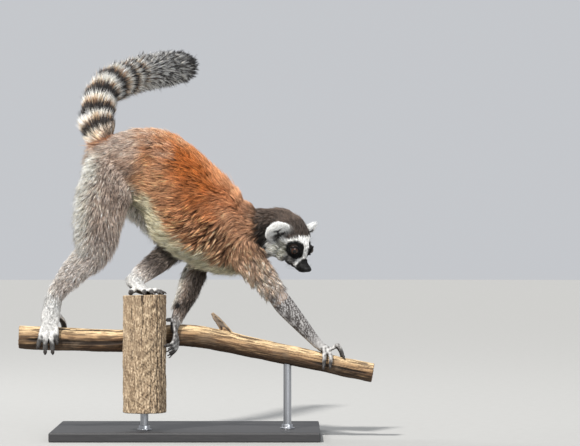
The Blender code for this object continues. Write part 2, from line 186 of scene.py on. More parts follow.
# -------- hand work on meshes
def deselect() -> None:
    """Leaves object mode with nothing selected."""
    if bpy.context.object and bpy.context.object.mode != "OBJECT":
        bpy.ops.object.mode_set(mode="OBJECT")
    bpy.ops.object.select_all(action="DESELECT")


def show(obj: Piece) -> Piece:
    """Links a new object to the scene."""
    bpy.context.scene.collection.objects.link(obj)
    return obj


def take(obj: Piece) -> None:
    """Makes the object the only selected one and the active one."""
    deselect()
    obj.select_set(True)
    bpy.context.view_layer.objects.active = obj


def points_of(obj: Piece) -> Rows:
    """The mesh's vertices in millimetres."""
    flat = np.empty(len(obj.data.vertices) * 3)
    obj.data.vertices.foreach_get("co", flat)
    return flat.reshape(-1, 3) / MM


def place_points(obj: Piece, points: Rows) -> None:
    """Moves the mesh's vertices to points in millimetres."""
    obj.data.vertices.foreach_set("co", (points * MM).ravel())
    obj.data.update()


def normals_of(obj: Piece) -> Rows:
    """The mesh's vertex normals."""
    flat = np.empty(len(obj.data.vertices) * 3, dtype=np.float32)
    obj.data.vertex_normals.foreach_get("vector", flat)
    return flat.reshape(-1, 3).astype(float)


def weld(obj: Piece) -> None:
    """Merges doubles, which closes seams and poles, and turns all faces outwards.

    Args:
        obj: The object.
    """
    take(obj)
    bpy.ops.object.mode_set(mode="EDIT")
    bpy.ops.mesh.select_all(action="SELECT")
    bpy.ops.mesh.remove_doubles(threshold=0.00001)
    bpy.ops.mesh.normals_make_consistent(inside=False)
    bpy.ops.object.mode_set(mode="OBJECT")


def join(parts: Sequence[Piece], name: str) -> Piece:
    """Joins objects into the first one and names it.

    Args:
        parts: The objects.
        name: Its name.

    Returns:
        The joined object.
    """
    take(parts[0])
    for part in parts:
        part.select_set(True)
    bpy.ops.object.join()
    joined = bpy.context.object
    joined.name = joined.data.name = name
    return joined


def apply(obj: Piece, kind: str, **settings: object) -> None:
    """Adds a modifier of a kind with its settings and applies it.

    Args:
        obj: The object.
        kind: The modifier's type.
        settings: Its settings.
    """
    take(obj)
    modifier = obj.modifiers.new(kind.title(), kind)
    for key, value in settings.items():
        setattr(modifier, key, value)
    bpy.ops.object.modifier_apply(modifier=modifier.name)


def smooth(obj: Piece, degrees: float = 50) -> None:
    """Shades the piece smooth, apart from edges sharper than an angle."""
    take(obj)
    bpy.ops.object.shade_smooth_by_angle(angle=math.radians(degrees))


def tint(obj: Piece, colours: Rows) -> None:
    """Stores one linear colour for each vertex in the coat's colour layer.

    Args:
        obj: The object.
        colours: One linear colour for each vertex.
    """
    for old in list(obj.data.color_attributes):
        obj.data.color_attributes.remove(old)
    layer = obj.data.color_attributes.new(COLOUR_LAYER, "FLOAT_COLOR", "POINT")
    full = np.ones((len(colours), 4), dtype=np.float32)
    full[:, :3] = np.clip(colours, 0, 1)
    layer.data.foreach_set("color", full.ravel())


def ball(centre: Sequence[float], radius: float, segments: int = 24) -> Piece:
    """Adds a ball that later melts into the skin, in millimetres.

    Args:
        centre: Its middle.
        radius: Its radius.
        segments: How many faces it has round about.

    Returns:
        The ball.
    """
    deselect()
    place = Vector(centre) * MM
    bpy.ops.mesh.primitive_uv_sphere_add(
        segments=segments, ring_count=segments // 2, radius=radius * MM, location=place
    )
    made = bpy.context.object
    bpy.ops.object.transform_apply(location=True, rotation=True, scale=True)
    return made


def finish_piece(obj: Piece, finish: Finish) -> None:
    """Gives a finished piece its material and its body.

    Args:
        obj: The object.
        finish: The piece's material.
    """
    obj.data.materials.clear()
    obj.data.materials.append(finish)
    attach(obj, "root")
    log.info("%s: %d faces", obj.name, len(obj.data.polygons))


# -------- courses of the body
@dataclass(frozen=True)
class Nap:
    """How the hair of one part grows: lengths and lifts run from the part's start to its end."""

    length: tuple[float, ...]
    lift: tuple[float, ...]
    way: float = 1.0
    droop: float = 0.0
    width: float = 0.45
    lock: tuple[float, float] = (8.0, 0.35)
    stray: float = 0.16
    curl: float = 0.45


NO_HAIR = Nap((1,), (1,))


@dataclass
class Course:
    """A run of oval cross-sections along one part of the body, with the hair that grows on it.

    A station is (x, y, z, half size in the plane of the bend, half size across it), out to the tips
    of the coat. The skin lies inside it by depth.
    """

    name: str
    stations: Sequence[tuple[float, ...]]
    depth: tuple[float, ...]
    nap: Nap
    across: Triple = (0.0, 1.0, 0.0)
    reach: tuple[float, float] = (0.0, 1.0)
    sides: int = 40
    places: int = 48
    least: float = 1.3
    row_height: float = 2.2

    def __post_init__(self) -> None:
        """Works out the rings that points are measured against."""
        self.u = np.linspace(*self.reach, self.places)
        self.rings = self.read(self.u)
        steps = norms(np.diff(self.rings["place"], axis=0))
        self.travel = np.concatenate([[0.0], np.cumsum(steps)])

    def read(self, u: Rows) -> Measures:
        """Reads the part's rings.

        Args:
            u: Places along the part, from 0 to 1.

        Returns:
            Middle point, direction, the two axes of the oval and its two half sizes under the coat.
        """
        rows = np.array(self.stations, dtype=float)
        here = smooth_run(rows, u)
        ahead = smooth_run(rows, np.minimum(u + 0.01, 1))
        behind = smooth_run(rows, np.maximum(u - 0.01, 0))
        along = unit(ahead[:, :3] - behind[:, :3])
        across = np.array(self.across)
        side = unit(across - (along @ across)[:, None] * along)
        under = np.interp(u, np.linspace(0, 1, len(self.depth)), self.depth)
        return {
            "place": here[:, :3],
            "along": along,
            "bend": unit(np.cross(side, along)),
            "side": side,
            "half": np.maximum(here[:, 3:5] - under[:, None], self.least),
        }

    def model(self, swell: Callable[[Rows, Rows], Rows] | None = None) -> Piece:
        """Rolls a flat grid into this part's closed tube.

        Args:
            swell: Scales a ring's radius by angle and place, where the part isn't a plain oval.

        Returns:
            The tube, as its own object.
        """
        rows = max(int(self.travel[-1] / self.row_height), 14)
        deselect()
        bpy.ops.mesh.primitive_grid_add(x_subdivisions=self.sides, y_subdivisions=rows, size=1.0)
        tube = bpy.context.object
        flat = points_of(tube) * MM + 0.5
        turn, row = 2 * math.pi * flat[:, 0], np.round(flat[:, 1] * rows)
        u = self.reach[0] + (self.reach[1] - self.reach[0]) * np.clip((row - 1) / (rows - 2), 0, 1)
        ring = self.read(u)
        open_ring = ((row > 0) & (row < rows)).astype(float)
        if swell:
            open_ring = open_ring * swell(turn, u)
        reach = ring["half"] * open_ring[:, None]
        outward = (reach[:, 0] * np.cos(turn))[:, None] * ring["bend"]
        outward = outward + (reach[:, 1] * np.sin(turn))[:, None] * ring["side"]
        place_points(tube, ring["place"] + outward)
        weld(tube)
        return tube

    def locate(self, points: Rows) -> Measures:
        """Measures points against this part.

        Args:
            points: Places on or near the skin.

        Returns:
            How far out each is in radii (q), its share of the way along (u), the millimetres
            travelled (s), the angle round the part (turn) and the part's direction there (along).
        """
        found = {
            "q": np.full(len(points), 99.0),
            "u": np.zeros(len(points)),
            "s": np.zeros(len(points)),
            "turn": np.zeros(len(points)),
            "along": np.zeros((len(points), 3)),
        }
        middle = self.rings["place"]
        room = 3 * self.rings["half"].max() + 12
        near = np.all((points > middle.min(0) - room) & (points < middle.max(0) + room), axis=1)
        if not near.any():
            return found
        inside = points[near]
        gap = (inside**2).sum(1)[:, None] - 2 * inside @ middle.T + (middle**2).sum(1)[None, :]
        i = gap.argmin(axis=1)
        step = inside - middle[i]
        forth = (step * self.rings["along"][i]).sum(1)
        half = self.rings["half"][i]
        east = (step * self.rings["bend"][i]).sum(1) / half[:, 0]
        north = (step * self.rings["side"][i]).sum(1) / half[:, 1]
        last = self.places - 1
        past = np.where(i == 0, np.minimum(forth, 0), np.where(i == last, np.maximum(forth, 0), 0))
        found["q"][near] = np.sqrt(east**2 + north**2 + (past / half.mean(1)) ** 2)
        found["s"][near] = self.travel[i] + forth
        found["u"][near] = np.interp(self.travel[i] + forth, self.travel, self.u)
        found["turn"][near] = np.arctan2(north, east)
        found["along"][near] = self.rings["along"][i]
        return found


# -------- driving sizes
TRUNK = [
    (-146, 0, 409, 14, 13), (-141, 0, 411, 27, 24), (-124, 0, 413, 43, 37), (-93, 0, 410, 57, 48),
    (-57, 0, 403, 65, 52), (-23, 0, 377, 66.5, 53), (7, 0, 340, 70.5, 54), (42, 0, 312, 64, 51),
    (66, 0, 293, 54, 46), (85, 0, 279, 39, 36), (94, 0, 272, 24, 23),
]
NECK = [
    (52, 0, 322, 40, 36), (76, 0, 313, 42, 38), (98, 1, 306, 40, 36), (119, 3, 312, 34.5, 32),
    (136, 4, 315, 31, 29), (148, 4, 312, 28, 25),
]
THIGH_RIGHT = [
    (-110, -18, 402, 38, 24), (-122, -28, 374, 43, 27), (-130, -31, 345, 40, 27), (-135, -31, 315, 36, 24),
    (-137.5, -30, 290, 31, 21), (-141, -28, 277, 26, 19),
]
SHANK_RIGHT = [
    (-128, -29, 286, 20, 17), (-147, -26, 272, 27, 19), (-169, -20, 253, 23, 16.5),
    (-188, -15, 232.5, 17.5, 13.5), (-200.5, -12, 215, 14.5, 13), (-205, -12, 203, 14, 13),
]
THIGH_LEFT = [
    (-108, 20, 402, 38, 24), (-86, 33, 376, 38, 27), (-58, 41, 346, 34, 26), (-32, 45, 314, 28, 22),
    (-17, 46, 296, 24, 19), (-10, 46, 288, 16, 14),
]
SHANK_LEFT = [
    (-12, 44, 294, 18, 15), (-26, 33, 281, 22, 18), (-46, 16, 264, 21, 17), (-64, 1, 250, 18, 15),
    (-77, -7, 241, 16, 14), (-84, -9, 236, 14, 13),
]
UPPER_ARM_RIGHT = [
    (66, -16, 306, 34, 20), (80, -26, 284, 30, 21), (98, -30, 256, 23, 18), (116, -30, 233, 20, 16),
    (124, -29, 223, 16, 14),
]
FOREARM_RIGHT = [
    (119, -30, 231, 17, 14), (128, -28, 218, 20, 16), (142, -24, 199, 19.5, 15),
    (165, -16, 172, 15.5, 12.5), (184, -9, 150, 11.5, 10), (193, -6, 140, 9.5, 9),
]
UPPER_ARM_LEFT = [
    (66, 16, 306, 34, 20), (56, 27, 292, 29, 21), (34, 35, 277, 24, 18), (18, 38, 266, 20, 16),
    (11, 38, 261, 15, 13),
]
FOREARM_LEFT = [
    (15, 38, 266, 17, 14), (7, 31, 248, 20, 15.5), (-3, 13, 220, 17, 13.5), (-13, -3, 198, 13.5, 11.5),
    (-19, -12, 183, 10.5, 9.5), (-21, -14, 177, 9.5, 9),
]
TAIL = [
    (-122, 0, 425, 24, 24), (-130, 0, 447, 29, 29), (-139, 12, 471, 30, 30), (-138, 29, 496, 29, 29),
    (-132, 51, 518, 28, 28), (-119, 82, 534, 28, 28), (-103, 128, 545, 28, 28), (-86, 195, 555, 28, 28),
    (-68, 277, 563, 28.5, 28.5), (-50, 362, 571, 28.5, 28.5), (-32, 430, 577, 27, 27),
    (-25, 455, 579, 24, 24),
]
# The head in its own axes: (forward, up, half height, half width).
HEAD_CENTRE = np.array([152.0, -8.0, 303.0])
HEAD_PITCH_DOWN = math.radians(49)
HEAD_TURN_RIGHT = math.radians(38)
SKULL = [
    (-36, 6, 9, 9), (-32, 5, 18, 20), (-22, 2, 25, 29), (-8, 0, 28, 34), (7, -2, 27.5, 33.5),
    (19, -5, 24, 28.5), (29, -9, 19, 21), (37, -12, 13.5, 15), (46, -14, 11.5, 12.5),
    (53, -11.5, 8.5, 10.5), (58, -9, 5.8, 8.5), (62, -7, 3, 5.5),
]
EAR = [
    (0, 23, -5.5, 14, 9.5), (-1.9, 29, 0, 18.5, 9), (-3.8, 35, 5.4, 19.5, 8), (-5.8, 41, 10.6, 17.5, 6.5),
    (-7.2, 45.5, 14.8, 12.5, 5), (-8.2, 48.5, 17.5, 6, 2.8),
]
# A paw: palm or sole stations, then its digits, each a run of (x, y, z, radius).
PAWS = {
    "foot_right": (
        [
            (-203, -10, 212, 14, 12), (-206, -12, 198, 14.5, 11), (-208, -16, 184, 15, 9.5),
            (-209, -20, 172, 14.5, 8), (-210, -22, 163, 13, 6.5),
        ],
        [
            [(-219, -20, 168, 5), (-222, -23, 155, 4.6), (-226, -22, 140, 4.2)],
            [(-213, -21, 166, 5), (-215, -24.5, 150, 4.7), (-215.5, -22, 133, 4.5)],
            [(-206, -21, 166, 5), (-205.5, -24.5, 150, 4.7), (-204.5, -22, 133, 4.5)],
            [(-200, -20, 170, 5), (-199, -23.5, 158, 4.6), (-198, -23, 147, 4.2)],
            [(-198, -8, 184, 6), (-192, 6, 176, 5.2), (-190, 19, 166, 5), (-190, 23, 152, 4.4)],
        ],
    ),
    "foot_left": (
        [
            (-86, -4, 242, 12, 13), (-81, -10, 233, 14, 14), (-74, -18, 225, 10, 15),
            (-67, -25, 221, 7, 15), (-61, -31, 219, 5, 13),
        ],
        [
            [(-54, -22, 221, 4.6), (-46, -26, 221, 4.3), (-39, -32, 217.5, 4)],
            [(-56, -28, 221, 4.6), (-49, -35, 222, 4.4), (-43, -43, 217.5, 4)],
            [(-61, -33, 221, 4.6), (-57, -43, 222, 4.4), (-53, -52, 217.5, 4)],
            [(-68, -34, 221, 4.6), (-67, -44, 221.5, 4.3), (-66, -53, 217.5, 4)],
            [(-79, -20, 224, 5.4), (-86, -30, 220.5, 5), (-87, -41, 218, 4.4)],
        ],
    ),
    "hand_right": (
        [(191, -7, 143, 9, 9), (198, -5, 136, 8.5, 10), (206, -4, 133, 7, 11.5), (212, -4, 132, 5, 11)],
        [
            [(201, -13, 131, 4.2), (201.5, -19, 121, 3.9), (200, -20, 108, 3.4)],
            [(209, -13, 131, 4.2), (211, -18.5, 120, 3.9), (210, -19.5, 109, 3.4)],
            [(213, -7, 133, 4.2), (221, -9, 140, 3.8), (226, -10, 133, 3.6), (229, -10, 124, 3.4)],
            [(213, 3, 133, 4.2), (220, 6, 137, 3.8), (226, 8, 129, 3.5), (228, 9, 121, 3.3)],
            [(199, 4, 133, 4.6), (200, 14, 127, 4.2), (200, 19, 114, 3.6)],
        ],
    ),
    "hand_left": (
        [
            (-20, -13, 182, 9, 8.5), (-22, -16, 173, 8.5, 9.5),
            (-23, -20, 165, 7, 10.5), (-23, -23, 159, 5.5, 10.5),
        ],
        [
            [(-22, -30, 161, 4), (-23, -37, 149, 3.8), (-27, -44, 142, 3.5), (-34, -49, 141, 3.2)],
            [(-21, -26, 159, 4), (-20.5, -31, 146, 3.8), (-24, -35, 138, 3.5), (-31, -37, 134, 3.2)],
            [(-20, -21, 158, 4), (-18.5, -24, 143, 3.8), (-22, -27, 133, 3.5), (-30, -29, 128, 3.2)],
            [(-21, -16, 159, 3.8), (-18, -18, 144, 3.6), (-21, -20.5, 133, 3.4), (-29, -22, 125, 3.2)],
            [(-25, -19, 175, 4.4), (-28, -25, 178, 4), (-33, -33, 178, 3.6)],
        ],
    ),
}
# The pole: (x, y, z, half height, half depth), and the broken stub of a side twig.
POLE = [
    (-256, 0, 151, 17, 17), (-210, 0, 149.5, 17.2, 17), (-160, 0, 147, 16.8, 17), (-110, 0, 146, 17, 17),
    (-67, 0, 149, 16.5, 16.5), (-20, 0, 154, 16, 16.5), (20, 0, 151, 15.5, 16), (80, 0, 139, 15, 15.5),
    (140, 0, 126, 14.8, 15), (205, 0, 112.5, 14.2, 14.5), (240, 0, 105, 14, 14.5), (274, 0, 98, 13.6, 14),
]
TWIG_STUB = [(66, 3, 141, 8, 8), (54, 4, 160, 6.5, 6.5), (42, 5, 176, 4.5, 4.5), (33, 6, 187, 2.2, 2.2)]
POST_CENTRE = (-67.0, -34.0)
POST_RADIUS = 31.5
POST_BOTTOM, POST_TOP = 40.0, 213.0
POST_SLANT = Vector((-0.02, 0.02, 1)).normalized()
ROD_RADIUS = 6.0
ROD_X = 146.0
BASE_THICKNESS = 14.0


# -------- the head's own axes
@dataclass(frozen=True)
class HeadFrame:
    """Forward along the muzzle, left, and up to the crown."""

    centre: Rows
    pitch: float
    turn: float

    @property
    def axes(self) -> Rows:
        """The three axes as columns."""
        turned = Matrix.Rotation(-self.turn, 3, "Z") @ Matrix.Rotation(self.pitch, 3, "Y")
        return np.array(turned)

    def out(self, points: Sequence[Sequence[float]]) -> Rows:
        """Points in head axes, placed in the model."""
        return np.atleast_2d(points) @ self.axes.T + self.centre

    def into(self, points: Rows) -> Rows:
        """Model points in head axes."""
        return (points - self.centre) @ self.axes

    def heading(self, way: Sequence[float]) -> Rows:
        """A direction in head axes, turned into the model's."""
        return self.axes @ unit(np.array(way, dtype=float))


HEAD = HeadFrame(HEAD_CENTRE, HEAD_PITCH_DOWN, HEAD_TURN_RIGHT)


@dataclass(frozen=True)
class EyeSeat:
    """Where an eyeball sits, in head axes, and how wide its lids open."""

    hand: int
    radius: float = 8.2
    lid: float = 1.1
    open_wide: float = 0.84
    open_tall: float = 0.56
    lid_reach: float = 0.55

    @property
    def centre(self) -> Rows:
        """Middle of the eyeball."""
        return np.array([26.5, 17.5 * self.hand, 1.0])

    @property
    def gaze(self) -> Rows:
        """Where the eye looks."""
        return unit(np.array([0.78, 0.60 * self.hand, 0.16]))

    def opening(self, away: Rows) -> tuple[Rows, Rows]:
        """Measures directions from the eye's middle against the lids.

        Args:
            away: Unit directions from the middle of the eyeball, in head axes.

        Returns:
            The angle from the gaze, and the angle at which the lids open on that side.
        """
        angle = np.arccos(np.clip(away @ self.gaze, -1, 1))
        upright = unit(np.array([0.0, 0.0, 1.0]) - self.gaze[2] * self.gaze)
        tall = np.abs(unit(away - (away @ self.gaze)[:, None] * self.gaze) @ upright)
        return angle, self.open_wide + (self.open_tall - self.open_wide) * tall**1.5


EYES = {"eye_right": EyeSeat(-1), "eye_left": EyeSeat(1)}


# -------- the body's parts
class Part(Enum):
    """The parts that carry their own piece of coat or marking."""

    TRUNK = "trunk"
    NECK = "neck"
    HEAD = "head"
    EAR = "ear"
    LEG = "leg"
    ARM = "arm"
    TAIL = "tail"
    PAW = "paw"


class Anatomy:
    """All courses of the body, with the coat's depth and nap on each."""

    def __init__(self) -> None:
        """Lays out trunk, neck, limbs, tail, head, ears and paws."""
        self.parts: dict[Part, list[Course]] = {part: [] for part in Part}
        self._torso()
        self._limbs()
        self._head()
        self._paws()
        self.courses = [course for group in self.parts.values() for course in group]
        self.number = {course.name: i for i, course in enumerate(self.courses)}

    def _add(self, part: Part, course: Course) -> None:
        """Files a course under its part."""
        self.parts[part].append(course)

    def _torso(self) -> None:
        """Trunk, neck and tail."""
        length, lift = (14, 15, 16, 20, 25, 25, 21), (32, 30, 28, 29, 34, 36, 30)
        trunk = Nap(length, lift, -1, 0.55, 0.38, (4.0, 0.6), 0.22)
        depth = (8, 9.5, 10, 10, 10, 9)
        self._add(Part.TRUNK, Course("trunk", TRUNK, depth, trunk, reach=(0.04, 0.98), sides=60))
        neck = Nap((21, 18, 15, 13), (32, 30, 28, 26), -1, 0.25, 0.42, (6, 0.6), 0.2)
        self._add(Part.NECK, Course("neck", NECK, (8.5, 7, 6, 5.5, 5.5), neck))
        tail = Nap((19, 25, 27, 27, 27, 24), (32, 39, 41, 40, 39, 36), 1, 0.0, 0.40, (3.5, 0.5), 0.14, 0.72)
        depth = (11.5, 15, 15.5, 15, 15, 14)
        self._add(Part.TAIL, Course("tail", TAIL, depth, tail, (1.0, 0.0, 0.0), (0.0, 0.985), 30, 120, 6.0))

    def _limbs(self) -> None:
        """Thighs, shanks and arms."""
        thigh = Nap((13, 14, 14, 13), (32, 33, 33, 31), 1, 0.1, 0.36, (3.1, 0.6), 0.32, 0.6)
        shank = Nap((13, 12, 10, 7), (31, 29, 25, 19), 1, 0.0, 0.34, (3.0, 0.55), 0.26, 0.55)
        shoulder = Nap((23, 21, 17, 12), (36, 34, 30, 27), 1, 0.5, 0.40, (4.2, 0.8), 0.24)
        forearm = Nap((12, 11.5, 10, 7.5), (28, 27, 25, 20), 1, 0.1, 0.32, (3.2, 0.55), 0.22)
        rows = (
            (Part.LEG, "thigh_right", THIGH_RIGHT, (7, 7, 6.5, 6), thigh, 44),
            (Part.LEG, "shank_right", SHANK_RIGHT, (6, 6, 4, 3), shank, 36),
            (Part.LEG, "thigh_left", THIGH_LEFT, (7, 7, 6, 5), thigh, 44),
            (Part.LEG, "shank_left", SHANK_LEFT, (5, 5, 4, 3), shank, 36),
            (Part.ARM, "upper_arm_right", UPPER_ARM_RIGHT, (9, 8, 6, 4.5), shoulder, 40),
            (Part.ARM, "forearm_right", FOREARM_RIGHT, (5, 5, 3.5, 2), forearm, 32),
            (Part.ARM, "upper_arm_left", UPPER_ARM_LEFT, (8, 7, 5, 4), forearm, 36),
            (Part.ARM, "forearm_left", FOREARM_LEFT, (4.5, 4.5, 3, 2), forearm, 32),
        )
        for part, name, stations, depth, nap, sides in rows:
            self._add(part, Course(name, stations, depth, nap, sides=sides))

    def _head(self) -> None:
        """Skull and ears, laid out in head axes."""
        places = HEAD.out([(f, 0, u) for f, u, _, _ in SKULL])
        skull = [(*place, tall, wide) for place, (_, _, tall, wide) in zip(places, SKULL)]
        length, lift = (13, 12, 9.5, 6.5, 3.6, 1.9, 1.3), (30, 29, 27, 24, 17, 10, 8)
        nap = Nap(length, lift, -1, 0.0, 0.27, (3.4, 0.5), 0.16)
        depth, left = (6, 6, 5, 3.2, 1.6, 0.9), tuple(HEAD.axes[:, 1])
        self._add(Part.HEAD, Course("skull", skull, depth, nap, left, (0.05, 0.99), 64, 60))
        for name, hand in (("ear_right", -1), ("ear_left", 1)):
            middle = HEAD.out([(f, hand * s, u) for f, s, u, _, _ in EAR])
            leaf = [(*place, broad, thick) for place, (_, _, _, broad, thick) in zip(middle, EAR)]
            flat = tuple(HEAD.axes @ np.array([0.943, hand * 0.334, -0.02]))
            nap = Nap((4.5, 5, 5.5, 6), (22, 22, 20, 14), 1, 0.0, 0.24, (3, 0.4), 0.2)
            self._add(Part.EAR, Course(name, leaf, (2.0, 1.6, 1.4), nap, flat, (0.0, 0.97), 40, 24, 1.0))

    def _paws(self) -> None:
        """Palms, soles and digits."""
        back = Nap((5.5, 4.5, 3.5), (16, 14, 12), 1, 0.0, 0.26, (3, 0.2))
        finger = Nap((3.4, 2.8, 1.8), (12, 11, 10), 1, 0.0, 0.22, (2.5, 0.1))
        for name, (sole, digits) in PAWS.items():
            self._add(Part.PAW, Course(f"{name}_sole", sole, (2.2, 1.4, 1.2), back, sides=28, places=20))
            for k, digit in enumerate(digits):
                title, rows = f"{name}_digit_{k + 1}", [(*end, end[-1]) for end in digit]
                depth, across = (0.9, 0.8, 0.7), (0.3, 0.9, 0.3)
                self._add(Part.PAW, Course(title, rows, depth, finger, across, sides=18, places=20))

    def locate(self, points: Rows) -> "Placing":
        """Measures points against every course."""
        return Placing(self, [course.locate(points) for course in self.courses])


class Placing:
    """Where a set of points lies on the body: the nearest course, and shares in all of them."""

    sharpness = 9.0

    def __init__(self, anatomy: Anatomy, found: list[Measures]) -> None:
        """Keeps the measures and works out the shares.

        Args:
            anatomy: The body's courses.
            found: One set of measures for each course.
        """
        self.anatomy = anatomy
        self.found = found
        distance = np.stack([one["q"] for one in found])
        self.nearest = distance.argmin(axis=0)
        share = np.exp(-self.sharpness * np.clip(distance - distance.min(axis=0), 0, 8))
        self.share = share / share.sum(axis=0)

    def of(self, name: str) -> Measures:
        """The measures against one course."""
        return self.found[self.anatomy.number[name]]

    def part_share(self, part: Part) -> Rows:
        """How much of each point belongs to a part, from 0 to 1."""
        rows = [self.anatomy.number[course.name] for course in self.anatomy.parts[part]]
        return self.share[rows].sum(axis=0)

    def down_tail(self, low: float, high: float) -> Rows:
        """How far each point is down the tail: 0 before the first of two places, 1 past the second."""
        return self.part_share(Part.TAIL) * rise(self.of("tail")["s"], low, high)


# -------- markings
@dataclass(frozen=True)
class Palette:
    """The animal's colours, as display colours of 0 to 255."""

    rufous: Shade = (166, 96, 46)
    rufous_light: Shade = (186, 131, 86)
    tan: Shade = (206, 160, 124)
    brown: Shade = (164, 122, 92)
    shoulder: Shade = (186, 144, 114)
    upper_arm: Shade = (228, 197, 172)
    rump: Shade = (204, 184, 170)
    haunch: Shade = (160, 142, 130)
    fringe: Shade = (255, 251, 236)
    belly: Shade = (202, 193, 163)
    shank: Shade = (222, 210, 202)
    arm: Shade = (78, 73, 71)
    wrist: Shade = (206, 203, 201)
    white: Shade = (252, 251, 247)
    cap: Shade = (66, 58, 53)
    neck: Shade = (38, 34, 30)
    nape: Shade = (96, 84, 76)
    cheek: Shade = (126, 124, 104)
    black: Shade = (8, 7, 7)
    snout: Shade = (18, 17, 17)
    muzzle_side: Shade = (104, 102, 100)
    leather: Shade = (46, 43, 42)
    tail_black: Shade = (38, 34, 33)
    tail_brown: Shade = (138, 104, 78)
    tail_tan: Shade = (216, 186, 152)
    tail_white: Shade = (240, 235, 224)
    tail_root: Shade = (176, 108, 58)

    def of(self, colour: str | Rows) -> Rows | Shade:
        """The named display colour, or the colour that is given."""
        return getattr(self, colour) if isinstance(colour, str) else colour


class Spots:
    """Places on the skin with their normals, their measures and the seeded unevenness at each."""

    def __init__(
        self, points: Rows, normals: Rows, placing: Placing, rows: Rows | slice = slice(None)
    ) -> None:
        """Keeps the chosen rows.

        Args:
            points: Places on the skin.
            normals: The skin's normals there.
            placing: The same points, measured against the body.
            rows: Which of them are meant.
        """
        self.points, self.normals, self.placing, self.rows = points[rows], normals[rows], placing, rows
        self.edge, self.fine = EDGE.at(self.points), FINE.at(self.points)
        self.patchy, self.streak = PATCHY.at(self.points), STREAK.at(self.points)

    def of(self, name: str) -> Measures:
        """These places' measures against one course."""
        return {key: value[self.rows] for key, value in self.placing.of(name).items()}

    def on(self, name: str, reach: float) -> Rows:
        """1 where a place is nearer to this limb than to its twin, and within so many of its radii."""
        part, side = name.rsplit("_", 1)
        own = self.of(name)["q"]
        return ((own < reach) & (own <= self.of(f"{part}_{OTHER[side]}")["q"])).astype(float)


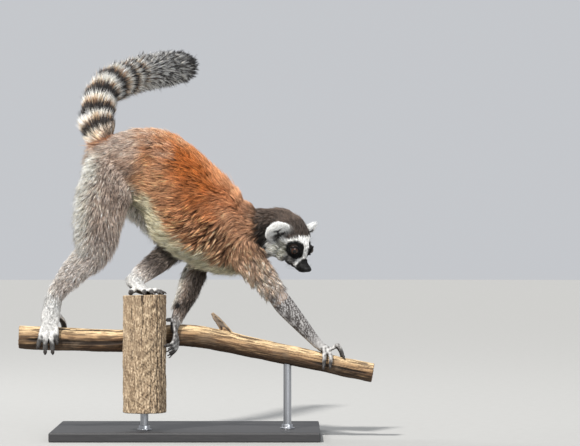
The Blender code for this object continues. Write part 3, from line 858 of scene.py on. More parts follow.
class Markings:
    """The one set of markings that skin and coat share."""

    gland = (-19.0, -15.0, 200.0)

    def __init__(self, palette: Palette) -> None:
        """Keeps the colours and sets out the tail's rings."""
        self.palette = palette
        self.rings = self._ring_starts()

    @staticmethod
    def _ring_starts(first: float = 37, narrow: float = 26.5, growth: float = 6, widest: float = 44) -> Rows:
        """Where each dark ring of the tail starts: the rings widen from the root, then keep their width."""
        widths = [min(narrow + growth * k, widest) for k in range(16)]
        starts = first + np.concatenate([[0], np.cumsum(widths)])
        return starts[starts < 620]

    def _lay(self, ground: str | Rows, *layers: tuple[str | Rows, Rows]) -> Rows:
        """Lays named or linear colours over a ground, one after the other, each by its share."""
        of = self.palette.of
        return layered(of(ground), *((of(colour), share) for colour, share in layers))

    def paint(self, points: Rows, normals: Rows, placing: Placing) -> Rows:
        """Colours points of the body.

        Args:
            points: Places on the skin.
            normals: The skin's normals there.
            placing: The same points, measured against the body.

        Returns:
            One linear colour for each point.
        """
        at = Spots(points, normals, placing)
        x, _, z = points.T
        ruff = np.interp(z, (264, 271, 282, 291, 306, 331, 345), (116, 109, 101, 96, 94, 98, 98))
        ruff = ruff + 2.2 * at.edge + 1.6 * at.fine + 4.0 * STREAK.at(points * (0.35, 1.0, 1.0))
        dark = self._lay("neck", ("nape", rise(normals[:, 2] + 0.2 * at.streak, 0.1, 0.8)))
        collar = rise(x, ruff - 11, ruff + 6) * rise(x, 170, 160) * rise(z, 258, 266)
        face = HEAD.into(points)
        apart = [norms(face - (3.0, hand * 19.0, -19.0)) for hand in (-1, 1)]
        jowl = rise(np.minimum(*apart) + at.fine, 21.0, 18.0)
        speckled = rise(face[:, 2], -4, -15) * (0.35 + 0.35 * SPECKLE.at(points).clip(-1, 1))
        margin = self._lay("white", ("cheek", speckled))
        total = np.zeros((len(points), 3))
        for part in Part:
            share = placing.part_share(part)
            rows = share > 0.01
            if rows.any():
                colour = getattr(self, f"_{part.value}")(Spots(points, normals, placing, rows))
                if part in (Part.TRUNK, Part.NECK, Part.ARM):
                    colour = self._lay(colour, (dark[rows], collar[rows]), (margin[rows], jowl[rows]))
                total[rows] += colour * share[rows, None]
        return total

    def _trunk(self, at: Spots) -> Rows:
        """Rufous back, grey rump, tan flanks and a pale belly.

        Args:
            at: The places.

        Returns:
            One linear colour for each place.
        """
        found = at.of("trunk")
        under = np.cos(found["turn"]) + 0.07 * at.edge + 0.04 * at.fine
        u = found["u"] + 0.03 * at.edge + 0.012 * at.fine
        front = rise(u, 0.42, 0.6)
        flank = rise(under + 0.25 * (1 - front), -0.3, 0.5)
        greyed = rise(u, 0.72, 0.92) * rise(-under, 0.0, 0.6) * rise(at.streak, -1.1, 0.4)
        return self._lay(
            "rufous",
            ("rufous_light", 0.55 * rise(-under, 0.75, 1.0) * rise(u, 0.62, 0.42)),
            ("tan", flank * (0.9 - 0.55 * front)),
            ("shoulder", 0.9 * rise(u, 0.50, 0.80) * (0.5 + 0.5 * rise(under, -0.9, -0.3))),
            ("brown", 0.55 * rise(u, 0.62, 0.8) * rise(under, -0.6, 0.1)),
            ("tan", 0.5 * rise(-under, 0.70, 0.98) * front * rise(u, 0.86, 0.72)),
            ("rufous_light", 0.85 * rise(u, 0.50, 0.34)),
            ("nape", 0.85 * greyed),
            ("rump", 0.95 * rise(u, 0.46, 0.26) * rise(under, 0.3, -0.5)),
            ("haunch", 0.9 * rise(u, 0.44, 0.28) * rise(under, -0.5, 0.25)),
            ("belly", rise(under, 0.50 + 0.16 * rise(u, 0.5, 0.7), 0.80)),
        )

    def _neck(self, at: Spots) -> Rows:
        """Rufous-brown withers that darken into the cap, and a pale throat.

        Args:
            at: The places.

        Returns:
            One linear colour for each place.
        """
        found = at.of("neck")
        under = np.cos(found["turn"]) + 0.05 * at.edge
        u = found["u"] + 0.05 * at.edge + 0.03 * at.fine
        return self._lay(
            "shoulder",
            ("rufous", 0.2 * rise(-under, 0.4, 1.0)),
            ("nape", 0.6 * rise(-under, 0.3, 0.9)),
            ("brown", rise(u, 0.15, 0.4)),
            ("cap", rise(u, 0.36, 0.6)),
            ("belly", rise(under, 0.62, 0.9)),
        )

    def _head(self, at: Spots) -> Rows:
        """Dark cap, white face and cheeks, black eye patches and a black snout, with painted shade on the
        side of the face between the ear and the eye patch.

        Args:
            at: The places.

        Returns:
            One linear colour for each place.
        """
        face = HEAD.into(at.points)
        forward, side, up = face.T
        out = np.abs(side)
        ragged = 1.1 * at.edge + 0.7 * at.fine
        slant = forward + 0.21 * (up + 16)
        line = np.interp(forward, (-30, -14, 0, 12.6, 18), (-20, -9, 0, 7.7, 19.5)) + ragged
        nape = rise(forward - 0.22 * up, -13 + ragged, -16 + ragged)
        cheek = rise(out, 12, 17) * rise(up, 3, -3) * rise(forward - 0.5 * up, -14, 4) * rise(forward, 32, 22)
        side_grey = rise(up + 0.3 * ragged, -5, -10) * rise(out, 3.5, 6.5) * rise(forward, 22, 28)
        colour = self._lay(
            "white",
            ("cheek", cheek * (0.7 + 0.3 * SPECKLE.at(at.points))),
            # Painted shade: a dark wash over the side of the face, between the ear and the eye patch.
            ("snout", 0.55 * rise(forward, 8, 20) * rise(out, 12, 17) * rise(up, 7, 2) * rise(up, -16, -8)),
            ("muzzle_side", side_grey * rise(slant, 41.5, 39.5)),
            ("cap", rise(up, line - 1.2, line + 1.2) * rise(forward - 0.4 * ragged, 19.5, 17.5)),
            ("neck", nape * rise(up, 12, 0)),
            ("nape", nape * rise(up, 4, 12)),
            ("belly", rise(up, -15, -21) * rise(out, 17, 11) * rise(forward, 28, 18)),
        )
        for hand in (-1, 1):
            gap = (face - (29.6, 15.8 * hand, 1.0)) * (0.98, 0.84, 1.06)
            patch = rise(norms(gap) + 0.6 * ragged, 14.9, 13.1) * rise(out, 3.6, 5.6)
            corner = norms(gap + (-3.4, 3.3 * hand, 18.0))
            smudge = rise(corner + 0.5 * ragged, 4.2, 2.4)
            colour = self._lay(colour, ("black", np.maximum(patch, 0.8 * smudge)))
        snout = rise(slant + 0.35 * ragged, 44.2, 45.6)
        lips = rise(forward, 30, 35) * rise(up, -17.5, -20.0)
        return self._lay(colour, ("snout", np.maximum(snout, lips)))

    def _ear(self, at: Spots) -> Rows:
        """White outside, with a dark hollow, partly bare skin and partly painted shade, and a slit of painted
        shadow at the ear's opening, both facing forward.

        Args:
            at: The places.

        Returns:
            One linear colour for each place.
        """
        colour = np.tile(linear(*self.palette.white), (len(at.points), 1))
        for name in ("ear_right", "ear_left"):
            found = at.of(name)
            facing, u, q = EarCup.facing(found["turn"]), found["u"], found["q"]
            # The hollow's dark is partly its bare skin and partly painted shade; the slit is painted shadow
            # in the ear's opening.
            hollow = rise(facing, 0.2, 0.6) * rise(q, 1.05, 0.8) * rise(u, 0.40, 0.30)
            slit = rise(facing, 0.78, 0.92) * rise(u, 0.66, 0.56) * rise(q, 1.05, 0.8)
            colour = self._lay(colour, ("leather", (q < 3) * np.maximum(hollow, slit)))
        return colour

    def _leg(self, at: Spots) -> Rows:
        """Grey outside with a pinkish cast, a whitish rear fringe and pale shins, with painted shade on the
        far shank.

        Args:
            at: The places.

        Returns:
            One linear colour for each place.
        """
        low = rise(at.of("thigh_right")["u"], 0.5, 0.85) + rise(at.of("thigh_left")["u"], 0.5, 0.85)
        colour = self._lay(
            "haunch",
            ("rump", 0.5 + 0.35 * at.patchy.clip(-1, 1)),
            ("shank", 0.45 * np.minimum(low, 1)),
            ("fringe", 0.9 * rise(-at.normals[:, 0] + 0.12 * at.fine, 0.1, 0.65)),
        )
        # Painted shade: the far (left) shank is darkened towards the cap colour, apart from its foot end.
        shaded = self._lay("haunch", ("cap", np.array([0.85])))
        for name, inner in (("thigh_right", 1), ("thigh_left", -1), ("shank_right", 1), ("shank_left", -1)):
            u, on = at.of(name)["u"], at.on(name, 2.2)
            facing = rise(at.normals[:, 1] * inner, 0.25, 0.8) * on
            colour = self._lay(colour, ("fringe", (0.75 if inner > 0 else 0.3) * facing))
            if name.startswith("shank"):
                colour = self._lay(
                    colour,
                    ("shank", 0.85 * rise(u, 0.0, 0.4) * on),
                    (shaded, 0.95 * rise(u, 0.8, 0.5) * on * (inner < 0)),
                    ("white", rise(u, 0.72, 1.0) * on),
                )
        return colour

    def _arm(self, at: Spots) -> Rows:
        """Brown shoulder, grey forearm and whitish wrist, pale on the inner side, with painted shade on the
        far forearm's front.

        Args:
            at: The places.

        Returns:
            One linear colour for each place.
        """
        colour = self.palette.arm
        for name, inner in (("upper_arm_right", 1), ("upper_arm_left", -1)):
            on = at.on(name, 2.4)
            down = at.of(name)["u"] + 0.06 * at.edge + 0.03 * at.fine
            behind = rise(at.normals[:, 1] * inner - 0.8 * at.normals[:, 0], 0.3, 1.0)
            colour = self._lay(
                colour,
                ("upper_arm", rise(down, 1.1, 0.8) * on),
                ("shoulder", rise(down, 0.66, 0.3) * on),
                ("belly", behind * on),
            )
        speckle = rise(Drift(2.9, 31).at(at.points), -0.1, 0.5)
        gland = norms(at.points - self.gland)
        for name, inner in (("forearm_right", 1), ("forearm_left", -1)):
            u, on, inward = at.of(name)["u"], at.on(name, 2.0), at.normals[:, 1] * inner
            behind = rise(-at.normals[:, 0], 0.15, 0.75) * rise(inward, -0.5, 0.1)
            # Painted shade: the front of the far (left) forearm is darkened towards the cap colour, apart
            # from its wrist end.
            front = rise(at.normals[:, 0], -0.3, 0.4) * (inner < 0)
            colour = self._lay(
                colour,
                ("upper_arm", rise(u + 0.02 * at.edge, 0.26, 0.08) * on),
                ("wrist", 0.8 * speckle * on),
                ("wrist", rise(u, 0.7, 1.0) * on),
                ("upper_arm", 0.35 * rise(inward, 0.0, 0.5) * on),
                ("fringe", 0.6 * behind * rise(u, 0.8, 0.5) * on),
                ("cap", 0.9 * front * rise(u, 0.9, 0.6) * on),
                ("leather", rise(gland, 8.0, 5.5) * on),
            )
        return colour

    def _tail(self, at: Spots) -> Rows:
        """White with black rings, each black at its root side, then brown, tan and white; a black tip."""
        return self.ringed(at.of("tail")["s"], at.points)

    def ringed(self, travelled: Rows, points: Rows) -> Rows:
        """Colours places along the tail.

        Args:
            travelled: Millimetres from the tail's root.
            points: The same places in space, for their unevenness.

        Returns:
            One linear colour for each place.
        """
        number = np.clip(np.searchsorted(self.rings, travelled, side="right") - 1, 0, len(self.rings) - 2)
        width = self.rings[number + 1] - self.rings[number]
        share = (travelled - self.rings[number]) / width - 0.07 * rise(travelled, 140, 100)
        ringed = rise(travelled, 310, 230)
        white = rise(share, 0.58, 0.72)
        flecked = FLECK.at(points) + 0.85 * (white - 0.5) + 0.35 * rise(travelled, 520, 330)
        root = rise(travelled, self.rings[0] + 2, self.rings[0] - 2)
        streak = rise(FINE.at(points), 0.3, 0.7) * rise(travelled, 38, 26)
        return self._lay(
            "tail_black",
            ("tail_brown", rise(share, 0.42, 0.52) * ringed),
            ("tail_tan", rise(share, 0.50, 0.60) * ringed),
            ("tail_white", white * ringed + rise(flecked, 0.05, 0.15) * (1 - ringed)),
            ("tail_white", root),
            ("tail_tan", root * (0.45 + 0.4 * STREAK.at(points).clip(-1, 1))),
            ("tail_root", rise(travelled, 36, 24)),
            ("tail_black", 0.7 * streak),
            ("tail_black", rise(travelled, 505, 520)),
        )

    def _paw(self, at: Spots) -> Rows:
        """White backs, and black leather where the paw grips.

        Args:
            at: The places.

        Returns:
            One linear colour for each place.
        """
        hands = rise(at.points[:, 0], -32, -28) * (at.points[:, 2] < 200)
        colour = self._lay(
            "white",
            ("wrist", 0.4 + 0.3 * at.fine.clip(-1, 1)),
            ("arm", hands * (0.62 + 0.3 * at.streak.clip(-1, 1))),
        )
        for name, (_, digits) in PAWS.items():
            reach = 0.9 if name.startswith("foot") else 1.0
            for k in range(1, len(digits) + 1):
                found = at.of(f"{name}_digit_{k}")
                tip = rise(found["u"] + 0.05 * at.fine, 0.52 * reach, 0.78 * reach)
                colour = self._lay(colour, ("leather", 0.9 * tip * (found["q"] < 1.6)))
        return self._lay(colour, ("leather", rise(Grip.facing(at.points, at.normals), 0.05, 0.5)))


class EarCup:
    """The hollow of an ear, on the side of the leaf that faces forward."""

    depth = 0.85
    open_depth = 0.12

    @staticmethod
    def facing(turn: Rows) -> Rows:
        """1 in the middle of the hollow and -1 behind it."""
        return np.sin(turn)

    @classmethod
    def swell(cls, turn: Rows, u: Rows) -> Rows:
        """Draws the leaf's front in past its middle to make the hollow."""
        hollow = rise(cls.facing(turn), 0.25, 0.75) * rise(u, 0.93, 0.6)
        return 1 - (cls.open_depth + (cls.depth - cls.open_depth) * rise(u, 0.62, 0.4)) * hollow


class Grip:
    """What the paws hold: the pole's middle line or the post's."""

    @staticmethod
    def centre(points: Rows) -> Rows:
        """The nearest held place for each point: on the post's top or side, or along the pole.

        Args:
            points: Places in millimetres.

        Returns:
            The held places.
        """
        rows = np.array(POLE, dtype=float)
        held = np.stack(
            [points[:, 0], np.zeros(len(points)), np.interp(points[:, 0], rows[:, 0], rows[:, 2])], axis=1
        )
        on_top = (points[:, 2] > POST_TOP - 5) & (points[:, 0] < -20) & (points[:, 0] > -110)
        held[on_top] = points[on_top] - (0.0, 0.0, 20.0)
        side = (np.abs(points[:, 0] + 26) < 18) & (points[:, 2] < POST_TOP - 15)
        middle = np.full(side.sum(), POST_CENTRE[0])
        held[side] = np.stack([middle, points[side, 1] + 4, points[side, 2]], axis=1)
        return held

    @classmethod
    def facing(cls, points: Rows, normals: Rows) -> Rows:
        """1 where the paw presses on what it holds and -1 on its back."""
        return (unit(cls.centre(points) - points) * normals).sum(1)


# -------- shader writing
def operator(operation: str, turned: bool = False) -> Callable[["Tone", object], "Tone"]:
    """Makes an operator of Tone.

    Args:
        operation: What its Math node does.
        turned: Whether the tone is the second of the two values, as in 1 - mask.

    Returns:
        The operator's method.
    """

    def method(self: "Tone", other: object) -> "Tone":
        """Adds the Math node."""
        first, second = (other, self) if turned else (self, other)
        return self.recipe.node("Math", {"operation": operation}, {0: first, 1: second})

    return method


class Tone:
    """A shader socket that does arithmetic: each operator adds its Math node."""

    __add__, __radd__ = operator("ADD"), operator("ADD", True)
    __sub__, __rsub__ = operator("SUBTRACT"), operator("SUBTRACT", True)
    __mul__, __rmul__ = operator("MULTIPLY"), operator("MULTIPLY", True)

    def __init__(self, recipe: "Recipe", socket: bpy.types.NodeSocket) -> None:
        """Wraps an output socket of a recipe."""
        self.recipe, self.socket = recipe, socket

    def above(self, low: float, high: float) -> "Tone":
        """A smooth mask, 0 at low and 1 at high."""
        settings = {"interpolation_type": "SMOOTHSTEP", "clamp": True}
        return self.recipe.node("MapRange", settings, {"Value": self, 1: low, 2: high})


class Recipe:
    """A material under construction."""

    def __init__(self, name: str) -> None:
        """Starts a material with one Principled shader.

        Args:
            name: Its name.
        """
        self.material = bpy.data.materials.new(name)
        self.material.use_nodes = True
        self.tree = self.material.node_tree
        self.shader = self.tree.nodes["Principled BSDF"]

    def node(
        self,
        kind: str,
        settings: dict[str, object] | None = None,
        sockets: dict[object, object] | None = None,
        output: object = 0,
    ) -> Tone:
        """Adds a node.

        Args:
            kind: The node's type, such as Math.
            settings: Its own settings, set first.
            sockets: Values or links of its inputs, by name or number.
            output: The output that is used, by name or number.

        Returns:
            That output.
        """
        made = self.tree.nodes.new(f"ShaderNode{kind}")
        for key, value in (settings or {}).items():
            setattr(made, key, value)
        for key, value in (sockets or {}).items():
            self.feed(made.inputs[key], value)
        return Tone(self, made.outputs[output])

    def feed(self, socket: bpy.types.NodeSocket, value: object) -> None:
        """Links a tone to a socket, or sets the socket's value.

        Args:
            socket: The input.
            value: A tone or a plain value.
        """
        if isinstance(value, Tone):
            self.tree.links.new(value.socket, socket)
        else:
            socket.default_value = value

    def place(self, scale: Triple = (1, 1, 1)) -> Tone:
        """Object coordinates, stretched along the axes."""
        coordinates = self.node("TexCoord", output="Object")
        return self.node("Mapping", None, {"Vector": coordinates, "Scale": scale})

    def noise(self, place: Tone, scale: float, detail: float = 3, roughness: float = 0.55) -> Tone:
        """Soft noise from 0 to 1."""
        sockets = {"Vector": place, "Scale": scale, "Detail": detail, "Roughness": roughness}
        return self.node("TexNoise", {"noise_dimensions": "3D"}, sockets)

    def mixed(self, share: object, first: object, second: object, kind: str = "MIX") -> Tone:
        """A colour mixed of two."""
        settings = {"data_type": "RGBA", "blend_type": kind}
        return self.node("Mix", settings, {0: share, 6: first, 7: second}, 2)

    def painted(self, red: Tone, green: Tone, blue: Tone) -> Tone:
        """The colour that was painted on the mesh, times three tones."""
        paint = self.node("Attribute", {"attribute_name": COLOUR_LAYER}, output="Color")
        tone = self.node("CombineColor", None, {"Red": red, "Green": green, "Blue": blue})
        return self.mixed(1.0, paint, tone, "MULTIPLY")

    def bump(self, height: Tone, strength: float, distance: float) -> Tone:
        """A normal from a height."""
        sockets = {"Strength": strength, "Distance": distance, "Height": height}
        return self.node("Bump", None, sockets)

    def done(self, **inputs: object) -> Finish:
        """Feeds the shader's inputs, whose names take _ for a space, and returns the material."""
        for key, value in inputs.items():
            self.feed(self.shader.inputs[key.replace("_", " ")], value)
        return self.material


def opaque(colour: Shade) -> tuple[float, ...]:
    """A display colour in linear light, with full alpha."""
    return (*linear(*colour).tolist(), 1.0)


@dataclass(frozen=True)
class FurFinish:
    """Tufts of hair: painted colour with a fine variation from tuft to tuft."""

    name: str = "fur"
    roughness: float = 0.62
    grain: float = 520.0

    def material(self) -> Finish:
        """Builds the material.

        Returns:
            The material.
        """
        recipe = Recipe(self.name)
        grain = recipe.noise(recipe.place(), self.grain, 2)
        tone = 0.78 + 0.44 * grain
        return recipe.done(
            Base_Color=recipe.painted(tone, tone, tone),
            Roughness=self.roughness,
            Specular_IOR_Level=0.16,
            Sheen_Weight=0.03,
            Sheen_Roughness=0.4,
        )


@dataclass(frozen=True)
class SkinFinish:
    """The skin under the coat and the bare black leather of palms and nose."""

    name: str = "skin"
    pore: float = 900.0
    crease: float = 260.0

    def material(self) -> Finish:
        """Builds the material.

        Returns:
            The material.
        """
        recipe = Recipe(self.name)
        place = recipe.place()
        sockets = {"Vector": place, "Scale": self.pore, "Randomness": 0.9}
        pores = recipe.node("TexVoronoi", {"feature": "F1"}, sockets)
        creases = recipe.noise(place, self.crease, 4)
        tone = 0.8 + 0.4 * creases
        return recipe.done(
            Base_Color=recipe.painted(tone, tone, tone),
            Roughness=0.46 + 0.3 * creases,
            Specular_IOR_Level=0.28,
            Normal=recipe.bump(pores * 0.5 + creases, 0.55, 0.0006),
        )


@dataclass(frozen=True)
class EyeFinish:
    """A wet eyeball: black pupil, amber iris with radial streaks and a dark rim."""

    seat: EyeSeat
    pupil: float = 0.36
    iris: float = 0.80

    def material(self) -> Finish:
        """Builds the material.

        Returns:
            The material.
        """
        recipe = Recipe("amber_eye")
        gaze = HEAD.heading(self.seat.gaze)
        middle = HEAD.out([self.seat.centre])[0] * MM
        out = recipe.node("TexCoord", output="Object")
        kind = "VectorMath"
        from_middle = recipe.node(kind, {"operation": "SUBTRACT"}, {0: out, 1: tuple(middle)})
        forth = recipe.node(kind, {"operation": "NORMALIZE"}, {0: from_middle})
        along = recipe.node(kind, {"operation": "DOT_PRODUCT"}, {0: forth, 1: tuple(gaze)}, "Value")
        angle = recipe.node("Math", {"operation": "ARCCOSINE"}, {0: along})
        streak = recipe.noise(from_middle, 700, 3)
        # Painted shade: the amber iris colours are darkened well below the animal's bright amber, for the
        # shade of the brow.
        inner = recipe.mixed(streak.above(0.35, 0.7), opaque((42, 23, 12)), opaque((74, 41, 18)))
        ringed = recipe.mixed(angle.above(0.46, self.iris), inner, opaque((24, 14, 9)))
        rim = angle.above(self.iris - 0.04, self.iris + 0.04)
        with_rim = recipe.mixed(rim, ringed, opaque((26, 17, 12)))
        outside = angle.above(self.pupil, self.pupil + 0.03)
        with_pupil = recipe.mixed(outside, (0.002, 0.002, 0.002, 1), with_rim)
        return recipe.done(
            Base_Color=with_pupil,
            Roughness=0.12,
            Coat_Weight=0.6,
            Coat_Roughness=0.03,
            Specular_IOR_Level=0.1,
        )


@dataclass(frozen=True)
class GrainFinish:
    """A plain stuff with a fine grain: two close colours mixed by a stretched noise."""

    name: str
    dark: Shade
    light: Shade
    stretch: Triple
    scale: float
    detail: float
    roughness: tuple[float, float]
    metallic: float = 0.0
    bump: tuple[float, float] = (0.0, 0.0)

    def material(self) -> Finish:
        """Builds the material.

        Returns:
            The material.
        """
        recipe = Recipe(self.name)
        grain = recipe.noise(recipe.place(self.stretch), self.scale, self.detail)
        least, more = self.roughness
        colour = recipe.mixed(grain, opaque(self.dark), opaque(self.light))
        inputs = {"Base_Color": colour, "Roughness": least + more * grain, "Metallic": self.metallic}
        if any(self.bump):
            inputs["Normal"] = recipe.bump(grain, *self.bump)
        return recipe.done(**inputs)


HORN = GrainFinish("horn", (38, 34, 32), (58, 53, 50), (1, 1, 0.3), 800, 2, (0.3, 0.2))
BOARD = GrainFinish(
    "stand_board", (30, 30, 32), (58, 57, 58), (0.06, 1, 1), 700, 4, (0.42, 0.2), 0.0, (0.25, 0.0003)
)
STEEL = GrainFinish(
    "steel", (142, 144, 148), (196, 198, 202), (1, 1, 0.02), 1500, 3, (0.24, 0.2), 1.0, (0.1, 0.0002)
)
FLOOR = GrainFinish("floor", (160, 160, 158), (168, 168, 166), (1, 1, 1), 60, 3, (0.9, 0.0))


@dataclass(frozen=True)
class WoodFinish:
    """Weathered bare wood: painted tone with fine fibres stretched along one axis."""

    name: str
    stretch: Triple
    fibre: float = 420.0

    def material(self) -> Finish:
        """Builds the material.

        Returns:
            The material.
        """
        recipe = Recipe(self.name)
        along = recipe.place(self.stretch)
        fibres = recipe.noise(along, self.fibre, 5, 0.62)
        stain = recipe.noise(recipe.place(), 38, 4)
        dark = fibres.above(0.56, 0.30)
        speck = recipe.noise(recipe.place(), 760, 2).above(0.56, 0.36)
        dark = dark * 0.8 + speck * 0.35
        grained = recipe.painted(1.2 - 0.62 * dark, 1.18 - 0.66 * dark, 1.16 - 0.72 * dark)
        colour = recipe.mixed(stain.above(0.5, 0.75) * 0.45, grained, opaque((112, 96, 78)))
        return recipe.done(
            Base_Color=colour, Roughness=0.78 + 0.15 * stain, Normal=recipe.bump(fibres + stain, 0.6, 0.0008)
        )


# -------- skin
@dataclass
class Skin:
    """The one skin under the coat, from ears to finger tips."""

    # How far limbs and paws are smoothed, and between which places along them.
    eased = {
        "thigh": (1, 1.0, 0.6),
        "upper": (1, 1.0, 0.6),
        "shank": (1, 0.45, 0.05),
        "forearm": (1, 0.45, 0.05),
        "sole": (0.3, 0.5, 0.8),
        "digit": (0.14, 0.4, 0.1),
    }

    anatomy: Anatomy
    voxel: float = 1.05
    passes: int = 4
    triangles: int = 186_000
    nostril: Triple = (61.5, 3.0, -7.6)
    nostril_radius: float = 1.7
    mouth_depth: float = 0.9
    haunch: tuple[float, ...] = (-125.0, 20.0, 394.0, 27.0)
    # What rounds the face out on both sides, in head axes: (forward, side, up, radius).
    cushions: tuple[tuple[float, ...], ...] = (
        (2.0, 19.5, -20.0, 15.0),  # cheek
        (19.0, 13.5, 4.5, 7.0),  # brow
        (16.5, 14.5, -17.5, 12.5),  # jaw
        (30.0, 7.5, -16.5, 9.5),  # chin
        (39.0, 5.0, -16.0, 7.5),  # lip
    )
    ease_passes: int = 260

    def build(self) -> Piece:
        """Lofts every part, melts them into one surface, models the face and thins the mesh.

        Returns:
            The skin.
        """
        courses = self.anatomy.courses
        shells = [course.model(EarCup.swell if course.name.startswith("ear") else None) for course in courses]
        for forward, side, up, radius in self.cushions:
            shells += [ball(HEAD.out([(forward, hand * side, up)])[0], radius) for hand in (-1, 1)]
        x, y, z, radius = self.haunch
        shells += [ball((x, hand * y, z), radius) for hand in (-1, 1)]
        for name in ("thigh_right", "thigh_left", "upper_arm_right", "upper_arm_left"):
            joint = courses[self.anatomy.number[name]]
            shells.append(ball(joint.rings["place"][-1], joint.rings["half"][-1].min()))
        skin = join(shells, "skin")
        apply(skin, "REMESH", mode="VOXEL", voxel_size=self.voxel * MM)
        apply(skin, "SMOOTH", factor=0.5, iterations=self.passes)
        self._ease(skin)
        self._model_face(skin)
        count = sum(len(face.vertices) - 2 for face in skin.data.polygons)
        apply(skin, "DECIMATE", ratio=min(1.0, self.triangles / count), use_collapse_triangulate=True)
        smooth(skin, 180)
        return skin

    def _ease(self, skin: Piece) -> None:
        """Smooths away the creases where trunk, neck, thighs and upper arms run into each other.

        Args:
            skin: The skin.
        """
        points = points_of(skin)
        placing = self.anatomy.locate(points)
        share = placing.part_share(Part.TRUNK) + placing.part_share(Part.NECK)
        share += placing.part_share(Part.HEAD) * rise(HEAD.into(points)[:, 0], -10, -24)
        share += placing.down_tail(26, 4)
        for i, course in enumerate(self.anatomy.courses):
            for word, (most, low, high) in self.eased.items():
                if word in course.name:
                    share += most * placing.share[i] * rise(placing.found[i]["u"], low, high)
        group = skin.vertex_groups.new(name="ease")
        levels = np.round(np.clip(share, 0, 1) * 8).astype(int)
        for level in range(1, 9):
            group.add(np.flatnonzero(levels == level).tolist(), level / 8, "REPLACE")
        apply(skin, "SMOOTH", factor=0.5, iterations=self.ease_passes, vertex_group="ease")
        skin.vertex_groups.clear()

    def _model_face(self, skin: Piece) -> None:
        """Opens the lids round the eyes, the nostrils and the line of the mouth.

        Args:
            skin: The skin.
        """
        points = points_of(skin)
        near = norms(points - HEAD.centre) < 90
        face = HEAD.into(points[near])
        for seat in EYES.values():
            face = self._lids(face, seat)
        points[near] = HEAD.out(self._mouth(self._nose(face)))
        place_points(skin, points)

    @staticmethod
    def _lids(face: Rows, seat: EyeSeat) -> Rows:
        """Wraps the skin over the eyeball and leaves the lids open.

        Args:
            face: Points in head axes.
            seat: The eye.

        Returns:
            The moved points.
        """
        arm = face - seat.centre
        far = norms(arm)
        away = unit(arm)
        angle, opening = seat.opening(away)
        lid = seat.radius + seat.lid
        over_ball = rise(angle, opening + seat.lid_reach, opening + 0.15) * (far < lid + 9)
        wrapped = np.where(far < lid, lid, lid + (far - lid) * (1 - over_ball))
        reach = np.where(angle < opening + seat.lid_reach, wrapped, far)
        inside = (angle < opening) & (far < lid + 9)
        reach = np.where(inside, seat.radius - 1.8, reach)
        return seat.centre + away * reach[:, None]

    def _nose(self, face: Rows) -> Rows:
        """Sinks a comma-shaped nostril on each side of the nose.

        Args:
            face: Points in head axes.

        Returns:
            The moved points.
        """
        for hand in (-1, 1):
            middle = np.array(self.nostril) * (1, hand, 1)
            gap = (face - middle) * (0.8, 1.0, 1.25)
            sink = rise(norms(gap), self.nostril_radius * 1.5, self.nostril_radius * 0.4)
            face = face + sink[:, None] * (-1.6, -0.9 * hand, 0.1)
        cleft = rise(np.abs(face[:, 1]), 0.9, 0.2) * rise(face[:, 0], 59, 61) * rise(face[:, 2], -7, -9)
        return face - cleft[:, None] * (0.7, 0, 0)

    def _mouth(self, face: Rows) -> Rows:
        """Draws the closed mouth back along the jaw.

        Args:
            face: Points in head axes.

        Returns:
            The moved points.
        """
        forward, side, up = face.T
        line = np.interp(forward, (22, 34, 46, 58), (-20.5, -20.0, -17.6, -12.6))
        groove = rise(np.abs(up - line), 1.5, 0.2) * rise(forward, 24, 30) * rise(forward, 60, 58)
        inward = np.stack([np.zeros_like(side), -np.sign(side), np.zeros_like(side)], axis=1)
        return face + (groove * self.mouth_depth)[:, None] * inward

    @staticmethod
    def nodes() -> list[str]:
        """The flesh nodes that the skin stands for."""
        pairs = ("thigh", "shank", "foot", "upper_arm", "forearm", "hand", "ear")
        limbs = (f"{part}_{side}" for part in pairs for side in OTHER)
        return ["head", "neck", "chest", "rump", *(f"tail_{k}" for k in range(1, 6)), *limbs]


# -------- coat
@dataclass(frozen=True)
class CoatPiece:
    """One piece of the coat: where it grows and how many tufts it has."""

    name: str
    courses: tuple[str, ...]
    tufts: int
    stretch: tuple[float, float] = (0.0, 1.0)
    levels: int = 2


@dataclass
class Turf:
    """Roots sown on the skin, and how the hair grows at each."""

    root: Rows
    normal: Rows
    placing: Placing
    lie: Rows
    length: Rows
    lift: Rows
    width: Rows
    curl: Rows


